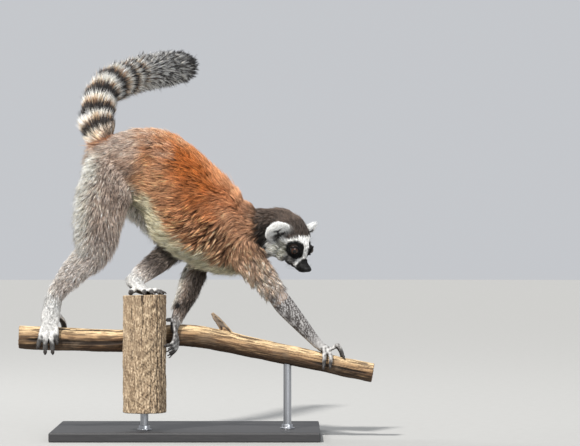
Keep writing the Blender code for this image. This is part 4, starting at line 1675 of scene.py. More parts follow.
class Coat:
    """Sows, combs and grows the coat over the skin."""

    sunk = 0.35
    bald_nose, bald_lid, bald_grip = 57.5, 0.10, 0.35
    spare, apart = 1.9, 0.62
    least_share = 0.02
    patch = 0.003
    # Where hair stands off: limb, how far behind it, from where along it, and how much longer and higher.
    fringes = (
        ("thigh_right", (0.15, 0.85), (1.0, 0.8), 0.35, 0.22),
        ("thigh_left", (0.15, 0.85), (1.0, 0.8), 0.35, 0.22),
        ("forearm_right", (0.1, 0.8), (0.5, 0.75), 0.5, 0.14),
    )

    def __init__(self, anatomy: Anatomy, markings: Markings, skin: Piece, seed: int = 7) -> None:
        """Reads the skin's triangles.

        Args:
            anatomy: The body's courses.
            markings: The colours.
            skin: The finished skin.
            seed: Start of the random draws.
        """
        self.anatomy, self.markings = anatomy, markings
        self.rng = np.random.default_rng(seed)
        self.points, self.normals = points_of(skin), normals_of(skin)
        skin.data.calc_loop_triangles()
        flat = np.empty(len(skin.data.loop_triangles) * 3, dtype=np.int32)
        skin.data.loop_triangles.foreach_get("vertices", flat)
        self.faces = flat.reshape(-1, 3)
        first, second, third = self.points[self.faces].transpose(1, 0, 2)
        self.area = norms(np.cross(second - first, third - first)) / 2
        self.centre_placing = anatomy.locate(self.points[self.faces].mean(axis=1))

    def _sow(self, piece: CoatPiece) -> tuple[Rows, Rows]:
        """Draws the roots of a piece, evenly over its area.

        Args:
            piece: The piece of coat.

        Returns:
            Roots and normals.
        """
        numbers = [self.anatomy.number[name] for name in piece.courses]
        mine = np.isin(self.centre_placing.nearest, numbers)
        if piece.stretch != (0.0, 1.0):
            u = self.centre_placing.of(piece.courses[0])["u"]
            mine &= (u >= piece.stretch[0]) & (u < piece.stretch[1])
        weight = np.where(mine, self.area, 0)
        weight = weight / weight.sum()
        drawn = self.rng.choice(len(weight), size=int(piece.tufts * self.spare), p=weight)
        one, two = self.rng.random((2, len(drawn)))
        flip = one + two > 1
        one, two = np.where(flip, 1 - one, one), np.where(flip, 1 - two, two)
        share = np.stack([1 - one - two, one, two], axis=1)[:, :, None]
        root = (self.points[self.faces[drawn]] * share).sum(axis=1)
        normal = unit((self.normals[self.faces[drawn]] * share).sum(axis=1))
        cell = math.sqrt(self.area[mine].sum() / piece.tufts) * self.apart
        _, first = np.unique(np.floor(root / cell).astype(np.int64), axis=0, return_index=True)
        keep = self.rng.permutation(first)
        keep = keep[self._hairy(root[keep], normal[keep])][: piece.tufts]
        return root[keep], normal[keep]

    def _hairy(self, root: Rows, normal: Rows) -> Rows:
        """Tells where hair grows.

        Args:
            root: Roots of tufts.
            normal: The skin's normals there.

        Returns:
            False on eyeball openings, nose pad, palms and soles.
        """
        face = HEAD.into(root)
        hairy = face[:, 0] < self.bald_nose
        for seat in EYES.values():
            arm = face - seat.centre
            angle, opening = seat.opening(unit(arm))
            hairy &= ~((norms(arm) < 13) & (angle < opening + self.bald_lid))
        pressed = Grip.facing(root, normal) > self.bald_grip
        for sole, _ in PAWS.values():
            ends = np.array(sole)[:, :3]
            here = np.all((root > ends.min(axis=0) - 45) & (root < ends.max(axis=0) + 45), axis=1)
            hairy &= ~(here & pressed & ((root - ends[0]) @ unit(ends[-1] - ends[0]) > 0))
        return hairy

    def _comb(self, root: Rows, normal: Rows) -> Turf:
        """Lays the hair: its direction and growth at each root, blended between parts.

        Args:
            root: Roots of tufts.
            normal: The skin's normals there.

        Returns:
            The combed roots.
        """
        placing, size = self.anatomy.locate(root), len(root)
        lie, laid = np.zeros((size, 3)), np.zeros((5, size))
        for i, course in enumerate(self.anatomy.courses):
            rows = placing.share[i] > self.least_share
            if not rows.any():
                continue
            nap, u, share = course.nap, placing.found[i]["u"][rows], placing.share[i][rows]
            stops = np.linspace(0, 1, len(nap.length))
            lie[rows] += self._way(course, placing.found[i], rows, root[rows]) * share[:, None]
            lift = np.radians(np.interp(u, stops, nap.lift))
            long = np.interp(u, stops, nap.length)
            grown = np.broadcast_arrays(long, lift, nap.width, nap.stray, nap.curl)
            laid[:, rows] += np.stack(grown) * share
        length, lift, width, stray, curl = laid / placing.share.sum(axis=0)
        self._trim(placing, root, lie, length, lift)
        lie = unit(lie - (lie * normal).sum(1)[:, None] * normal)
        swirl = 0.22 * Drift(34.0, 41).at(root) + stray * self.rng.normal(size=size)
        turned = lie * np.cos(swirl)[:, None] + np.cross(normal, lie) * np.sin(swirl)[:, None]
        length = length * np.exp(0.14 * self.rng.normal(size=size)) * (1 + 0.10 * Drift(22.0, 42).at(root))
        tail = placing.part_share(Part.TAIL)
        lift = np.clip(lift * (1 + (0.24 - 0.12 * tail) * self.rng.normal(size=size)), 0.05, 1.2)
        guard = self.rng.random(size) < 0.05 - 0.04 * tail
        width = width * (1 + 0.5 * placing.down_tail(*FAR_TAIL))
        length, lift = length * (1 + 0.24 * guard), lift + 0.12 * guard
        return Turf(root, normal, placing, turned, length, lift, width, curl)

    def _way(self, course: Course, found: Measures, rows: Rows, root: Rows) -> Rows:
        """Finds which way hair lies on one course, before it is laid on the skin.

        Args:
            course: The course.
            found: All roots, measured against it.
            rows: The roots that it has a share in.
            root: Their places.

        Returns:
            One direction for each of them.
        """
        nap = course.nap
        way = nap.way * found["along"][rows]
        if course.name == "skull":
            return unit(root - HEAD.out([(64, 0, -8)])[0]) + 0.35 * way
        droop = np.full(rows.sum(), nap.droop)
        if course.name == "trunk":
            turn, u = found["turn"][rows], found["u"][rows]
            droop = nap.droop * np.sin(turn) ** 2 * (0.55 + 1.9 * rise(u, 0.35, 0.8)) + 0.1
        return way + droop[:, None] * DOWN

    def _trim(self, placing: Placing, root: Rows, lie: Rows, length: Rows, lift: Rows) -> None:
        """Shortens the hair round the eyes and lengthens the fringes of the limbs, in place.

        Args:
            placing: The roots' measures.
            root: Roots of tufts.
            lie: Their directions.
            length: Their lengths.
            lift: Their angles from the skin.
        """
        face = HEAD.into(root)
        for seat in EYES.values():
            arm = face - seat.centre
            near = rise(norms(arm), 17, 9.5)
            lie += near[:, None] * (unit(arm) @ HEAD.axes.T) * 1.2
            length *= 1 - 0.45 * near
            lift *= 1 - 0.3 * near
        for name, behind, along, longer, raised in self.fringes:
            found = placing.of(name)
            back = rise(np.cos(found["turn"]), *behind) * rise(found["u"], *along)
            back = back * rise(found["q"], 2.0, 1.4)
            if name.startswith("thigh"):
                lie += back[:, None] * (-0.8, 0.0, 0.0)
            length *= 1 + longer * back
            lift += raised * back

    def _locks(self, turf: Turf, tips: Rows) -> tuple[Rows, Rows, Rows]:
        """Finds the lock that each tuft belongs to.

        Args:
            turf: The sown roots.
            tips: Where each tuft would end on its own.

        Returns:
            How far each tip moves, a tone for each tuft that holds painted shade in the gaps between locks,
            and its lock's place.
        """
        placing, root, rng = turf.placing, turf.root, self.rng
        number = placing.nearest
        size, pull = np.array([course.nap.lock for course in self.anatomy.courses])[number].T
        trunk = placing.of("trunk")
        under = np.cos(trunk["turn"])
        ribs = (number == self.anatomy.number["trunk"]) * rise(trunk["u"], 0.42, 0.72)
        ribs = ribs * rise(under, -0.7, 0.0) * rise(under, 0.8, 0.5)
        limb = placing.part_share(Part.LEG) + placing.part_share(Part.ARM)
        arm = np.isin(number, [self.anatomy.number[f"upper_arm_{side}"] for side in OTHER])
        deep = (ribs > 0.45) & ~arm
        far = placing.down_tail(*FAR_TAIL)
        size = size * np.select([arm, deep], [1.2, 1.75], 1.0) * (1 - 0.12 * far)
        cell = np.floor(root / size[:, None] + 0.35 * rng.random(3)).astype(np.int64)
        _, first = np.unique(cell, axis=0, return_index=True)
        heads = KDTree(len(first))
        for k, row in enumerate(first):
            heads.insert(root[row], k)
        heads.balance()
        owner = np.array([heads.find(place)[1] for place in root])
        chief = first[owner]
        pull = pull + 0.38 * ribs + 0.38 * far
        firm = np.clip(pull * (1 + 0.25 * rng.normal(size=len(first)))[owner], 0.1, 0.96)
        count = np.bincount(owner)[owner][:, None]
        mean_tip, mean_root = (
            np.stack([np.bincount(owner, place[:, axis])[owner] for axis in range(3)], axis=1) / count
            for place in (tips, root)
        )
        wander = size * np.where(deep | arm, 0.42, 0.14) * (1 - far)
        goal = 0.65 * mean_tip + 0.35 * tips[chief] + 0.24 * (root - mean_root)
        goal = goal + wander[:, None] * rng.normal(size=(len(first), 3))[owner]
        step = (goal - tips) * firm[:, None]
        most = 0.75 * turf.length / np.maximum(norms(step), 1e-6)
        rest = (root - mean_root) / size[:, None]
        ahead = (rest * turf.lie).sum(1)
        aside = norms(rest - ahead[:, None] * turf.lie)
        # Painted shade: tufts at the sides of each lock and towards its tip end are darkened, as if shaded in
        # the gaps between locks; gain lightens the firm locks to make up.
        crevice_shade = rise(aside, 0.13, 0.42) + 0.6 * rise(ahead, 0.05, 0.5) - 0.4 * rise(-ahead, 0.05, 0.5)
        shade = np.where(deep, 0.28, 0.22 + 0.08 * limb) + 0.12 * placing.down_tail(120, 260)
        dark, gain = np.where(deep, 1.9, 0.9 + 0.2 * limb), np.where(deep, 0.45, 0.24 + 0.14 * limb)
        tone = shade * rng.normal(size=len(first))[owner] - dark * firm * crevice_shade + gain * firm
        tone = tone * (1 - placing.part_share(Part.EAR) - 0.35 * placing.part_share(Part.HEAD))
        return step * np.minimum(1, most)[:, None], tone * (1 - 0.3 * far) + 0.10 * far, root[chief]

    def grow(self, piece: CoatPiece) -> Piece:
        """Turns the roots of one piece into closed tufts with colours and a bake map.

        Args:
            piece: The piece of coat.

        Returns:
            Its joined mesh.
        """
        root, normal = self._sow(piece)
        turf = self._comb(root, normal)
        low, high = (
            turf.lie * np.cos(angle)[:, None] + normal * np.sin(angle)[:, None]
            for angle in (turf.lift, turf.lift * turf.curl)
        )
        half = (0.5 * turf.length)[:, None]
        middle = root + low * half
        tip = middle + unit(high + 0.10 * DOWN) * half
        step, tone, lock = self._locks(turf, tip)
        spines = [root - normal * self.sunk, middle + 0.32 * step, tip + step]
        if piece.levels == 1:
            del spines[1]
        obj = self._mesh(piece, self._rings(turf, spines), len(root))
        tint(obj, self._colours(turf, piece.levels, tone, lock))
        layer = obj.data.uv_layers.new(name=BAKE_MAP)
        layer.data.foreach_set("uv", self._bake_map(piece, turf).astype(np.float32).ravel())
        obj.data.polygons.foreach_set("use_smooth", np.ones(len(obj.data.polygons), dtype=bool))
        return obj

    @staticmethod
    def _rings(turf: Turf, spines: list[Rows]) -> Rows:
        """Sets three points round each spine point but the last, which is the tip.

        Args:
            turf: The sown roots.
            spines: Base, middle and tip of every tuft, or base and tip.

        Returns:
            The vertices, tuft by tuft.
        """
        across = unit(np.cross(turf.normal, turf.lie))
        columns = []
        for spine, share in zip(spines[:-1], (1.0, 0.8)):
            width = (share * turf.width)[:, None]
            foot = spine - turf.normal * (0.25 * width)
            columns += [foot - across * width, foot + across * width, spine + turf.normal * (0.75 * width)]
        return np.stack([*columns, spines[-1]], axis=1).reshape(-1, 3)

    def _colours(self, turf: Turf, levels: int, tone: Rows, lock: Rows) -> Rows:
        """Colours every vertex: darkened at the root as painted shade deep in the coat, the marking in the
        middle, lighter at the tip.

        Args:
            turf: The sown roots.
            levels: Rings in a tuft before its tip.
            tone: How light each tuft is.
            lock: The place of each tuft's lock.

        Returns:
            One linear colour for each vertex.
        """
        rng, size = self.rng, len(turf.root)
        seen = turf.root + turf.lie * (0.45 * turf.length)[:, None] * rng.uniform(0.6, 1.2, size)[:, None]
        marking = self.markings.paint(seen, turf.normal, self.anatomy.locate(seen))
        tail = turf.placing.part_share(Part.TAIL)
        rows = tail > 0.3
        if rows.any():
            travelled = turf.placing.of("tail")["s"][rows] + 0.62 * turf.length[rows]
            loose = np.interp(travelled, (40, 140, 230, 320, 500), (0.9, 1.6, 3.0, 5.0, 6.0))
            shift = 0.4 * rng.normal(size=rows.sum()) + np.clip(2.6 * tone[rows], -1.8, 1.8)
            ringed = self.markings.ringed(travelled + loose * shift, lock[rows])
            marking[rows] = over(marking[rows], ringed, tail[rows])
        ear = turf.placing.part_share(Part.EAR)[:, None]
        # Painted light: ear tufts are made 30 % brighter, as if the sun fell full on them.
        bright = np.exp(0.24 * rng.normal(size=size) + tone)[:, None] * (1 + 0.3 * ear)
        warm = 1 + 0.035 * rng.normal(size=(size, 1)) * (1.0, 0.0, -1.0)
        marking = marking * bright * warm
        far = turf.placing.down_tail(*FAR_TAIL)[:, None]
        # Painted shade: roots are darkened for the shade deep in the coat, and down the far tail the middles
        # too; the ears' roots stay pale.
        dark = np.maximum(0.22 + 0.26 * marking.mean(axis=1, keepdims=True), 0.75 * ear) * (1 - 0.7 * far)
        painted_shade_levels = [marking * dark, marking * (0.84 - 0.42 * far)][:levels]
        columns = [np.repeat(shade[:, None, :], 3, axis=1) for shade in painted_shade_levels]
        columns.append((marking * (1.46 + 0.5 * far) + 0.006)[:, None, :])
        return np.concatenate(columns, axis=1).reshape(-1, 3)

    def _bake_map(self, piece: CoatPiece, turf: Turf) -> Rows:
        """Lays every tuft as a small patch at its root's place on an unwrap of the skin.

        Args:
            piece: The piece of coat; each of its courses has one column of the map.
            turf: The sown roots.

        Returns:
            One map point for each face corner.
        """
        columns, size = len(piece.courses), len(turf.root)
        corner = np.zeros((size, 2))
        for k, name in enumerate(piece.courses):
            rows = (turf.placing.nearest == self.anatomy.number[name]) | (columns == 1)
            found = turf.placing.of(name)
            low, high = piece.stretch
            across = (found["turn"] / (2 * math.pi) + 0.5) % 1.0
            up = np.clip((found["u"] - low) / (high - low), 0, 1)
            corner[rows, 0] = ((k + 0.02 + 0.94 * across) / columns)[rows]
            corner[rows, 1] = (0.006 + 0.98 * up)[rows]
        third, half = self.patch / 3, self.patch / 2 * (piece.levels - 1)
        shape = []
        for x in (0, third, 2 * third):
            if half:
                shape += [(x, 0), (x + third, 0), (x + third, half), (x, half)]
        for x in (0, third, 2 * third):
            shape += [(x, half), (x + third, half), (x + third / 2, self.patch)]
        shape += [(0, -0.0008), (self.patch, -0.0008), (self.patch / 2, 0)]
        return (np.clip(corner, 0.002, 0.994)[:, None, :] + np.array(shape)).reshape(-1, 2)

    @staticmethod
    def _mesh(piece: CoatPiece, shape: Rows, size: int) -> Piece:
        """Makes the joined mesh of a piece.

        Args:
            piece: The piece of coat.
            shape: Its vertices, tuft by tuft.
            size: How many tufts it has.

        Returns:
            The piece.
        """
        per = 3 * piece.levels + 1
        round_about = ((0, 1), (1, 2), (2, 0))
        sides = [(j, k, 3 + k, 3 + j) for j, k in round_about] if piece.levels == 2 else []
        tuft = [*sides, *((per - 4 + j, per - 4 + k, per - 1) for j, k in round_about), (2, 1, 0)]
        corners = np.array([i for face in tuft for i in face])
        loops = (np.arange(size)[:, None] * per + corners).ravel()
        lengths = np.tile([len(face) for face in tuft], size)
        starts = np.concatenate([[0], np.cumsum(lengths)[:-1]])
        mesh = bpy.data.meshes.new(piece.name)
        mesh.vertices.add(len(shape))
        mesh.vertices.foreach_set("co", (shape * MM).astype(np.float32).ravel())
        mesh.loops.add(len(loops))
        mesh.loops.foreach_set("vertex_index", loops.astype(np.int32))
        mesh.polygons.add(len(lengths))
        mesh.polygons.foreach_set("loop_start", starts.astype(np.int32))
        mesh.update(calc_edges=True)
        return show(bpy.data.objects.new(piece.name, mesh))


def coat_pieces() -> list[CoatPiece]:
    """The pieces of the coat, with their numbers of tufts.

    Returns:
        One entry for each piece.
    """
    paws = tuple(f"{name}_{bit}" for name in PAWS for bit in ("sole", *(f"digit_{k}" for k in range(1, 6))))
    return [
        CoatPiece("coat_rump", ("trunk",), 17500, (0.0, 0.37)),
        CoatPiece("coat_flank", ("trunk",), 19500, (0.37, 0.64)),
        CoatPiece("coat_chest", ("trunk",), 16500, (0.64, 1.0)),
        CoatPiece("coat_neck", ("neck",), 7500),
        CoatPiece("coat_head", ("skull",), 18000),
        CoatPiece("coat_ears", ("ear_right", "ear_left"), 5500),
        CoatPiece("coat_leg_right", ("thigh_right", "shank_right"), 12500),
        CoatPiece("coat_leg_left", ("thigh_left", "shank_left"), 8500),
        CoatPiece("coat_arm_right", ("upper_arm_right", "forearm_right"), 9500),
        CoatPiece("coat_arm_left", ("upper_arm_left", "forearm_left"), 6500),
        CoatPiece("coat_tail_root", ("tail",), 11000, (0.0, 0.5)),
        CoatPiece("coat_tail_tip", ("tail",), 14000, (0.5, 1.0)),
        CoatPiece("coat_paws", paws, 12500, levels=1),
    ]


# -------- eyes, nails and whiskers
@dataclass
class Eyeball:
    """One eye with the slight bulge of its cornea."""

    name: str
    seat: EyeSeat
    bulge: float = 0.6
    cornea: float = 0.62

    def build(self) -> Piece:
        """Adds the ball and draws its front out a little.

        Returns:
            The eyeball.
        """
        middle = HEAD.out([self.seat.centre])[0]
        eye = ball(middle, self.seat.radius - 0.15, 56)
        arm = points_of(eye) - middle
        away = unit(arm)
        front = np.arccos(np.clip(away @ HEAD.heading(self.seat.gaze), -1, 1))
        reach = norms(arm) + self.bulge * rise(front, self.cornea, 0.1)
        place_points(eye, middle + away * reach[:, None])
        smooth(eye, 180)
        eye.name = eye.data.name = f"{self.name}ball"
        return eye


@dataclass
class Nails:
    """The flat dark nails on every digit."""

    length: float = 1.25
    breadth: float = 0.78
    thickness: float = 0.34

    def build(self) -> Piece:
        """Models a nail on the back of each digit's tip."""
        nails = [self._nail(np.array(digit, dtype=float)) for _, digits in PAWS.values() for digit in digits]
        return join(nails, "nails")

    def _nail(self, digit: Rows) -> Piece:
        """Shapes one nail from a ball: flat below, arched above and drawn out past the tip.

        Args:
            digit: The digit's stations.

        Returns:
            The nail.
        """
        tip, radius = digit[-1, :3], digit[-1, 3] - 0.7
        forth = unit(tip - digit[-2, :3])
        back = unit(tip - Grip.centre(tip[None, :])[0])
        back = unit(back - (back @ forth) * forth)
        nail = ball((0, 0, 0), 1.0, 16)
        shape = points_of(nail)
        long, broad, high = shape.T
        high = np.where(high < 0, high * 0.35, high) - 0.22 * broad**2
        size = radius * np.array([self.length, self.breadth, self.thickness])
        place = tip + back * radius * 0.80 + forth * radius * 0.75
        across = np.cross(back, forth)
        taper = 1 - 0.35 * np.clip(long, 0, 1)
        moved = place + np.outer(long * size[0], forth) + np.outer(broad * taper * size[1], across)
        place_points(nail, moved + np.outer(high * size[2] - 0.25 * np.clip(long, 0, 1) * size[0], back))
        weld(nail)
        return nail


@dataclass
class Whiskers:
    """Stiff dark hairs beside the muzzle and over the eyes."""

    rows: int = 4
    columns: int = 4
    radius: float = 0.16
    sides: int = 4
    steps: int = 6
    droop: Triple = (-0.18, 0, -0.12)

    def build(self, skin_points: Rows) -> Piece:
        """Sets the whiskers on the skin.

        Args:
            skin_points: The skin's vertices, to start the hairs from.

        Returns:
            All whiskers, joined.
        """
        face = HEAD.into(skin_points)
        rng = np.random.default_rng(5)
        whiskers = []
        for hand in (-1, 1):
            for i in range(self.rows):
                for j in range(self.columns):
                    goal = (38 + 4.2 * i, 14 * hand, -19 + 2.6 * j)
                    way = (0.15 - 0.1 * i, 0.9 * hand, -0.35 + 0.12 * j)
                    whiskers.append(self._whisker(face, goal, way, 17, rng))
            for j in range(3):
                goal = (21 + 3 * j, (13 + 2 * j) * hand, 14)
                whiskers.append(self._whisker(face, goal, (0.2, 0.35 * hand, 0.8), 12, rng))
        return join(whiskers, "whiskers")

    def _whisker(
        self, face: Rows, goal: Triple, way: Triple, length: float, rng: np.random.Generator
    ) -> Piece:
        """Draws one tapering, drooping hair from the skin point nearest to a goal.

        Args:
            face: Points in head axes.
            goal: Where it should start, in head axes.
            way: Where it points.
            length: Its length.
            rng: The random draws.

        Returns:
            The whisker.
        """
        start = face[norms(face - goal).argmin()]
        forth = unit(np.array(way) + 0.12 * rng.normal(size=3))
        share = np.linspace(0, 1, self.steps)
        path = start + np.outer(share * length * rng.uniform(0.8, 1.15), forth)
        path = path + np.outer(share**2 * length, self.droop)
        rows = np.column_stack([HEAD.out(path), *[self.radius * (1.02 - share)] * 2])
        across = (0.2, 0.3, 0.9)
        return Course("whisker", rows.tolist(), (0.0,), NO_HAIR, across, sides=self.sides, least=0.02).model()


# -------- perch
@dataclass
class Pole:
    """The bare, weathered pole with its knots and the splintered stub of a side twig."""

    voxel: float = 1.0
    furrow: float = 0.75
    splinters: int = 9

    def __post_init__(self) -> None:
        """Lays out the pole and its stub."""
        self.course = Course("pole", POLE, (0.0,), NO_HAIR, sides=120, places=160)
        self.stub = Course("stub", TWIG_STUB, (0.0,), NO_HAIR, sides=32, least=0.3)

    def build(self) -> Piece:
        """Melts pole and stub together, then cuts the fibres, furrows and cracks into them.

        Returns:
            The pole.
        """
        pole = join([self.course.model(self._knots), self.stub.model(), *self._splinters()], "pole")
        apply(pole, "REMESH", mode="VOXEL", voxel_size=self.voxel * MM)
        apply(pole, "SMOOTH", factor=0.5, iterations=2)
        points, normals = points_of(pole), normals_of(pole)
        place_points(pole, points + normals * self._relief(points)[:, None])
        smooth(pole, 180)
        tint(pole, self._colours(points, normals))
        return pole

    @staticmethod
    def _knots(turn: Rows, u: Rows) -> Rows:
        """The pole's gentle swellings."""
        return 1 + 0.02 * np.sin(2 * turn + 14 * u) + 0.015 * np.sin(23 * u + turn)

    def _splinters(self) -> list[Piece]:
        """Thin torn ends on the stub.

        Returns:
            The splinters.
        """
        rng = np.random.default_rng(3)
        made = []
        tip = np.array(TWIG_STUB[-2][:3], dtype=float)
        forth = unit(np.array(TWIG_STUB[-1][:3]) - tip)
        for _ in range(self.splinters):
            start = tip + rng.normal(size=3) * 1.8 - forth * rng.uniform(2, 8)
            end = start + forth * rng.uniform(9, 17) + rng.normal(size=3) * 1.2
            middle = (start + end) / 2
            rows = [(*start, 2.2, 1.6), (*middle, 1.7, 1.2), (*end, 0.5, 0.4)]
            made.append(Course("splinter", rows, (0.0,), NO_HAIR, sides=10, least=0.4).model())
        return made

    def _straight(self, points: Rows) -> Callable[[float], Rows]:
        """Straightens the pole for its patterns.

        Args:
            points: Places on the pole.

        Returns:
            A function that gives them on a straight pole, its length scaled by a factor.
        """
        found = self.course.locate(points)
        east, north = 16 * np.cos(found["turn"]), 16 * np.sin(found["turn"])
        return lambda factor: np.stack([east, north, factor * found["s"]], axis=1)

    def _relief(self, points: Rows) -> Rows:
        """How far the surface stands out or lies in, in millimetres.

        Args:
            points: Places in millimetres.

        Returns:
            One height for each place.
        """
        at = self._straight(points)
        fibre = Drift(4.2, 51).at(at(0.07)) + 0.8 * Drift(2.4, 52).at(at(0.2))
        crack = rise(Drift(11.0, 54).at(at(0.035)), 0.86, 1.1)
        return self.furrow * (0.36 * fibre + 0.6 * Drift(17.0, 53).at(at(0.25))) - 1.5 * crack

    def _colours(self, points: Rows, normals: Rows) -> Rows:
        """Paler on top as painted light, tan on the sides, darker below and in the cracks as painted shade,
        and streaked along the grain.

        Args:
            points: Places in millimetres.
            normals: The surface's normals there.

        Returns:
            One linear colour for each place.
        """
        at = self._straight(points)
        streak = 0.7 * Drift(6.0, 55).at(at(0.05)) + 0.6 * Drift(3.0, 56).at(at(0.16))
        stub = rise(points[:, 2] - np.interp(points[:, 0], *np.array(POLE)[:, [0, 2]].T), 19, 26)
        return layered(
            (150, 122, 90),
            # Painted light on the upward-facing top.
            ((212, 187, 148), rise(normals[:, 2] + 0.25 * streak, 0.25, 0.8)),
            # Painted shade on the underside.
            ((58, 42, 26), rise(-normals[:, 2] + 0.35 * streak, -0.35, 0.45)),
            ((84, 60, 38), 0.85 * rise(streak, 0.25, 0.75)),
            ((66, 48, 31), 0.75 * rise(Drift(2.3, 57).at(at(0.04)), 0.45, 0.8)),
            # Painted shade in the furrows and cracks.
            ((40, 29, 20), rise(-self._relief(points), 0.35, 1.0)),
            ((120, 108, 96), 0.7 * stub),
        )


@dataclass
class Post:
    """The sawn post: upright fibres, drying cracks and a slanting top with its rings."""

    flute: float = 0.8
    pressed: float = 2.0

    def __post_init__(self) -> None:
        """Stands the post's course upright."""
        heights = (POST_BOTTOM, 80, 120, 160, POST_TOP + 6)
        rows = [(*POST_CENTRE, z, POST_RADIUS, POST_RADIUS) for z in heights]
        self.course = Course("post", rows, (0.0,), NO_HAIR, sides=220, places=40)

    def build(self, pole: Piece) -> Piece:
        """Rolls the post, saws its top, carves its surface and notches it for the pole.

        Args:
            pole: The finished pole, which runs through the notch at the back.

        Returns:
            The post.
        """
        post = self.course.model(self._bark)
        self._saw(post)
        apply(post, "REMESH", mode="VOXEL", voxel_size=0.95 * MM)
        points, normals = points_of(post), normals_of(post)
        side = rise(np.abs(normals[:, 2]), 0.75, 0.4)
        relief = self._relief(points) * side + self._end_grain(points) * (1 - side)
        place_points(post, points + normals * relief[:, None])
        self._notch(post, pole)
        points, normals = points_of(post), normals_of(post)
        smooth(post, 60)
        tint(post, self._colours(points, normals))
        post.name = post.data.name = "post"
        return post

    @staticmethod
    def _bark(turn: Rows, u: Rows) -> Rows:
        """The slightly fluted round."""
        return 1 + 0.012 * np.sin(3 * turn + 1.0) + 0.010 * np.sin(7 * turn + 9 * u)

    def _saw(self, post: Piece) -> None:
        """Cuts the top off at its slant, just where the toes press, and closes it.

        Args:
            post: The post.
        """
        take(post)
        bpy.ops.object.mode_set(mode="EDIT")
        bpy.ops.mesh.select_all(action="SELECT")
        middle = Vector((*POST_CENTRE, POST_TOP + self.pressed)) * MM
        bpy.ops.mesh.bisect(plane_co=middle, plane_no=POST_SLANT, use_fill=True, clear_outer=True)
        bpy.ops.object.mode_set(mode="OBJECT")

    @staticmethod
    def _straight(points: Rows) -> Callable[[float], Rows]:
        """Places points for patterns that run up the post.

        Args:
            points: Places on the post.

        Returns:
            A function that gives them from the post's foot, their height scaled by a factor.
        """
        local = points - (*POST_CENTRE, 0.0)
        wander = Drift(26.0, 60).at(points * (1.0, 1.0, 0.5))
        local[:, :2] *= 1 + 0.03 * wander[:, None]
        return lambda factor: local * (1.0, 1.0, factor)

    def _relief(self, points: Rows) -> Rows:
        """Fibres, flutes and cracks on the sides, in millimetres.

        Args:
            points: Places in millimetres.

        Returns:
            One height for each place.
        """
        at = self._straight(points)
        fibre = Drift(3.8, 61).at(at(0.10)) + 0.8 * Drift(2.1, 62).at(at(0.22))
        crack = rise(Drift(9.0, 63).at(at(0.028)), 0.75, 1.0)
        plates = rise(Drift(7.0, 70).at(at(0.28)), 0.0, 0.35)
        pits = rise(Drift(2.6, 71).at(at(0.5)), 0.55, 0.85)
        return self.flute * 0.34 * fibre + 0.75 * plates - 1.7 * crack - 0.8 * pits

    def _end_grain(self, points: Rows) -> Rows:
        """Growth rings and saw marks on the top, in millimetres.

        Args:
            points: Places in millimetres.

        Returns:
            One height for each place.
        """
        flat = points[:, :2] - POST_CENTRE - (3.0, -2.0)
        ring = norms(flat) + 1.2 * Drift(18.0, 64).at(points)
        split = rise(Drift(13.0, 65).at(points), 0.9, 1.1)
        return 0.22 * np.sin(ring * 2 * math.pi / 3.1) + 0.12 * np.sin(points[:, 0] * 1.9) - 0.9 * split

    def _notch(self, post: Piece, pole: Piece) -> None:
        """Takes the pole's space out of the post.

        Args:
            post: The post.
            pole: The pole.
        """
        room = show(pole.copy())
        room.data = pole.data.copy()
        place_points(room, points_of(room) + normals_of(room) * NOTCH_GAP)
        apply(post, "BOOLEAN", object=room, operation="DIFFERENCE", solver="MANIFOLD")
        bpy.data.objects.remove(room)

    def _colours(self, points: Rows, normals: Rows) -> Rows:
        """Grey-tan with light and dark fibres, cracks darkened as painted shade, dark patches gathered on the
        side away from the key light as painted shade, and a top face paler as painted light.

        Args:
            points: Places in millimetres.
            normals: The surface's normals there.

        Returns:
            One linear colour for each place.
        """
        at = self._straight(points)
        fibre = 0.6 * Drift(2.6, 66).at(at(0.06)) + 0.6 * Drift(1.7, 72).at(at(0.3))
        broad = Drift(24.0, 67).at(at(0.3))
        patch = Drift(3.4, 68).at(at(0.3)) + 0.8 * Drift(1.9, 69).at(at(0.5))
        low = 0.2 * (150 - points[:, 2])
        # Painted shade: the wood's own dark patches grow thicker on the right side, away from the key light,
        # and lower down.
        shaded_side = 0.25 + 0.75 * rise(points[:, 0] - POST_CENTRE[0] + 6 * broad + low, -12, 12)
        return layered(
            (148, 129, 105),
            ((190, 171, 146), 0.85 * rise(fibre, 0.1, 0.9)),
            ((98, 80, 62), 0.75 * rise(-fibre, 0.3, 0.9)),
            ((128, 108, 86), 0.5 * rise(broad, 0.0, 0.8)),
            ((58, 44, 31), 0.8 * rise(patch, 0.5, 1.0) * shaded_side),
            ((208, 190, 162), 0.6 * rise(-patch, 0.6, 1.1)),
            # Painted shade in the cracks of the sides.
            ((50, 38, 28), rise(-self._relief(points), 0.7, 1.5) * rise(normals[:, 2], 0.8, 0.4)),
            # Painted light on the upward-facing top.
            ((186, 166, 136), 0.7 * rise(normals[:, 2], 0.7, 0.9)),
        )


